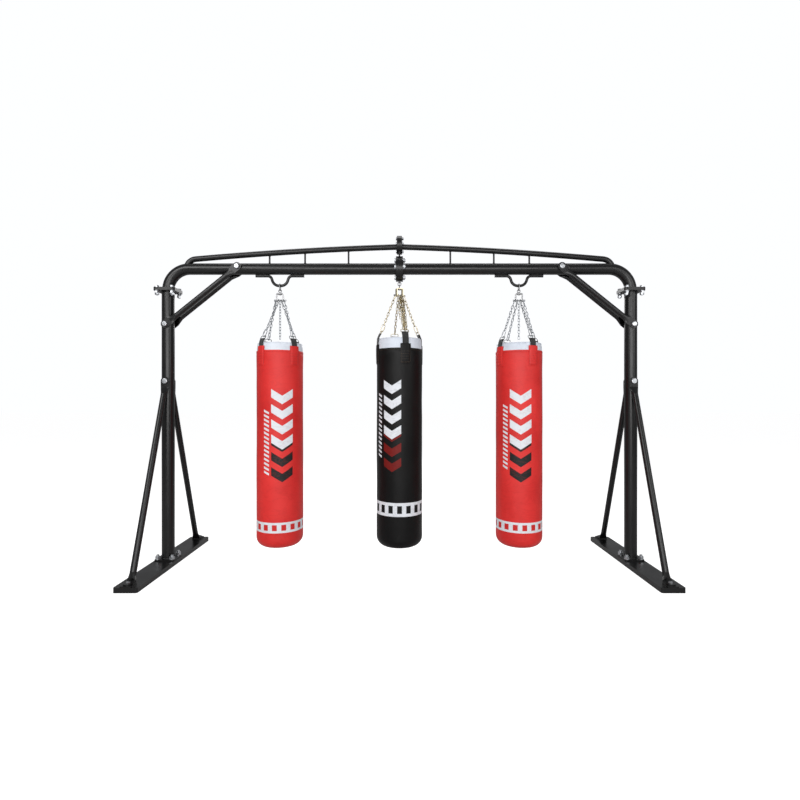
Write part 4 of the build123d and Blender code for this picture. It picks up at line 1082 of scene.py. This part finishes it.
def weld_bead(radius, bead=BEAD):
    steps = max(40, round(2 * math.pi * radius / BEAD_STEP))
    shape = round_ring(radius, bead, steps, 8)
    for vert in shape.verts:
        turn = math.atan2(vert.co.y, vert.co.x)
        centre = Vector((radius * math.cos(turn), radius * math.sin(turn), 0))
        waves = round(radius * 2 * math.pi / RIPPLE_PITCH)
        swollen = 1 + RIPPLE / bead * math.sin(turn * waves)
        vert.co = centre + (vert.co - centre) * swollen
    return shape


POST_RADIUS = 0.043
BEAM_RADIUS = 0.040
RAIL_RADIUS = 0.020
STRUT_RADIUS = 0.0065
FOOT_PLATE = 0.010
JOINT_PLATE = 0.011
BEAM_FLANGE_RADIUS = 0.089
BEAM_FLANGE_FACE = 0.025    # from the middle
RAIL_FLANGE_FACE = 0.0185
RAIL_RISE = 0.159           # rail axis above the beam axis
post_bead, beam_bead = weld_bead(POST_RADIUS), weld_bead(BEAM_RADIUS)
rail_bead, strut_bead = weld_bead(RAIL_RADIUS, 0.003), weld_bead(STRUT_RADIUS, 0.0018)
LYING = Matrix.Rotation(math.pi / 2, 4, "Y")
bead_places = []
for side in ("left", "right"):
    post_low, post_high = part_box("post_" + side)
    post_x = (post_low.x + post_high.x) / 2
    outwards = math.copysign(1, post_x)
    bead_places += [(post_bead, Matrix.Translation((post_x, 0, post_low.z + FOOT_PLATE))),
                    (post_bead, Matrix.Translation((post_x, 0, post_high.z - JOINT_PLATE))),
                    (beam_bead, Matrix.Translation((post_x, 0, post_high.z + JOINT_PLATE)))]
    beam_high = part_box("beam_" + side)[1]
    beam_z = beam_high.z - BEAM_FLANGE_RADIUS
    beam_end = Matrix.Translation((outwards * BEAM_FLANGE_FACE, 0, beam_z))
    rail_end = Matrix.Translation((outwards * RAIL_FLANGE_FACE, 0, beam_z + RAIL_RISE))
    bead_places += [(beam_bead, beam_end @ LYING), (rail_bead, rail_end @ LYING)]
print(len(bead_places), "beads so far")

# %% Strut and hanger beads
def solid_boxes(name):
    """The box of each separate solid in a CAD part, from a merged copy of its mesh."""
    shape = bmesh.new()
    shape.from_mesh(nodes[name].data)
    bmesh.ops.remove_doubles(shape, verts=shape.verts, dist=1e-5)
    waiting, boxes = set(shape.verts), []
    while waiting:
        reached = [waiting.pop()]
        for vert in reached:
            near = {edge.other_vert(vert) for edge in vert.link_edges} & waiting
            waiting -= near
            reached.extend(near)
        spots = [vert.co for vert in reached]
        boxes.append((Vector([min(spot[axis] for spot in spots) for axis in range(3)]),
                      Vector([max(spot[axis] for spot in spots) for axis in range(3)])))
    shape.free()
    return boxes


for side in ("left", "right"):
    for low, high in solid_boxes("rail_struts_" + side):
        middle = (low + high) / 2
        bead_places += [(strut_bead, Matrix.Translation((middle.x, 0, low.z + STRUT_BEAD_RISE))),
                        (strut_bead, Matrix.Translation((middle.x, 0, high.z - STRUT_BEAD_RISE)))]
welds = keep_piece("Weld_Beads", gather(bead_places), frame_paint, "root", "frame_paint")
print(welds.name, len(bead_places), "beads,", len(welds.data.polygons), "faces")

# %% [markdown]
# ## Hanger welds
# The bent bars that carry the side bags lie along the underside of the beam, and a run of weld
# holds each foot on both sides. Such a run is a straight, lumpy ridge, so it is a row of
# overlapping low balls in line.

# %% Hanger welds
FOOT_RUN = 0.085
LUMP_PITCH = 0.0055
LUMP_START = 0.008          # from the end of the bar
LUMP_ASIDE = 0.0085         # to each side of the bar's middle
LUMP_SINK = 0.0006          # into the beam's underside
LUMP_SIZE = (0.0042, 0.0038, 0.0034, 1)
hanger_lumps = bmesh.new()
for side in ("left", "right"):
    low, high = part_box("hanger_" + side)
    lumps = round(FOOT_RUN / LUMP_PITCH)
    for end, inwards in ((low.x, 1), (high.x, -1)):
        for front in (-1, 1):
            for number in range(lumps):
                spot = Vector((end + inwards * (LUMP_START + number * LUMP_PITCH),
                               front * LUMP_ASIDE, high.z - LUMP_SINK))
                size = Matrix.Diagonal(LUMP_SIZE)
                bmesh.ops.create_icosphere(hanger_lumps, subdivisions=2, radius=1,
                                           matrix=Matrix.Translation(spot) @ size)
hanger_welds = keep_piece("Hanger_Welds", hanger_lumps, frame_paint, "root", "frame_paint")
print(hanger_welds.name, len(hanger_welds.data.polygons), "faces")

# %% [markdown]
# ## Floor finish
# The floor's paint has a faint mottling. It also glows for the camera alone, nearly as bright as
# the backdrop, so that no horizon shows behind the stand and the shadows under it stay faint.

# %% Floor finish
FLOOR_GLOW = 0.82
floor_finish, floor_tree, floor_shader = start_material("Studio_Floor_Paint")
floor_spot = wire(floor_tree, "TexCoord").outputs["Object"]
mottle = wire(floor_tree, "TexNoise", {"Vector": floor_spot, "Scale": 1.5, "Detail": 5.0})
floor_tree.links.new(mix_colours(floor_tree, mottle.outputs["Fac"], grey(0.52), grey(0.56)),
                     floor_shader.inputs["Base Color"])
floor_shader.inputs["Roughness"].default_value = 0.75
floor_shader.inputs["Emission Color"].default_value = grey(1.0)
floor_seen = wire(floor_tree, "LightPath").outputs["Is Camera Ray"]
floor_tree.links.new(calc(floor_tree, "MULTIPLY", floor_seen, FLOOR_GLOW),
                     floor_shader.inputs["Emission Strength"])
floor.data.materials.append(floor_finish)
print("floor:", floor_finish.name)
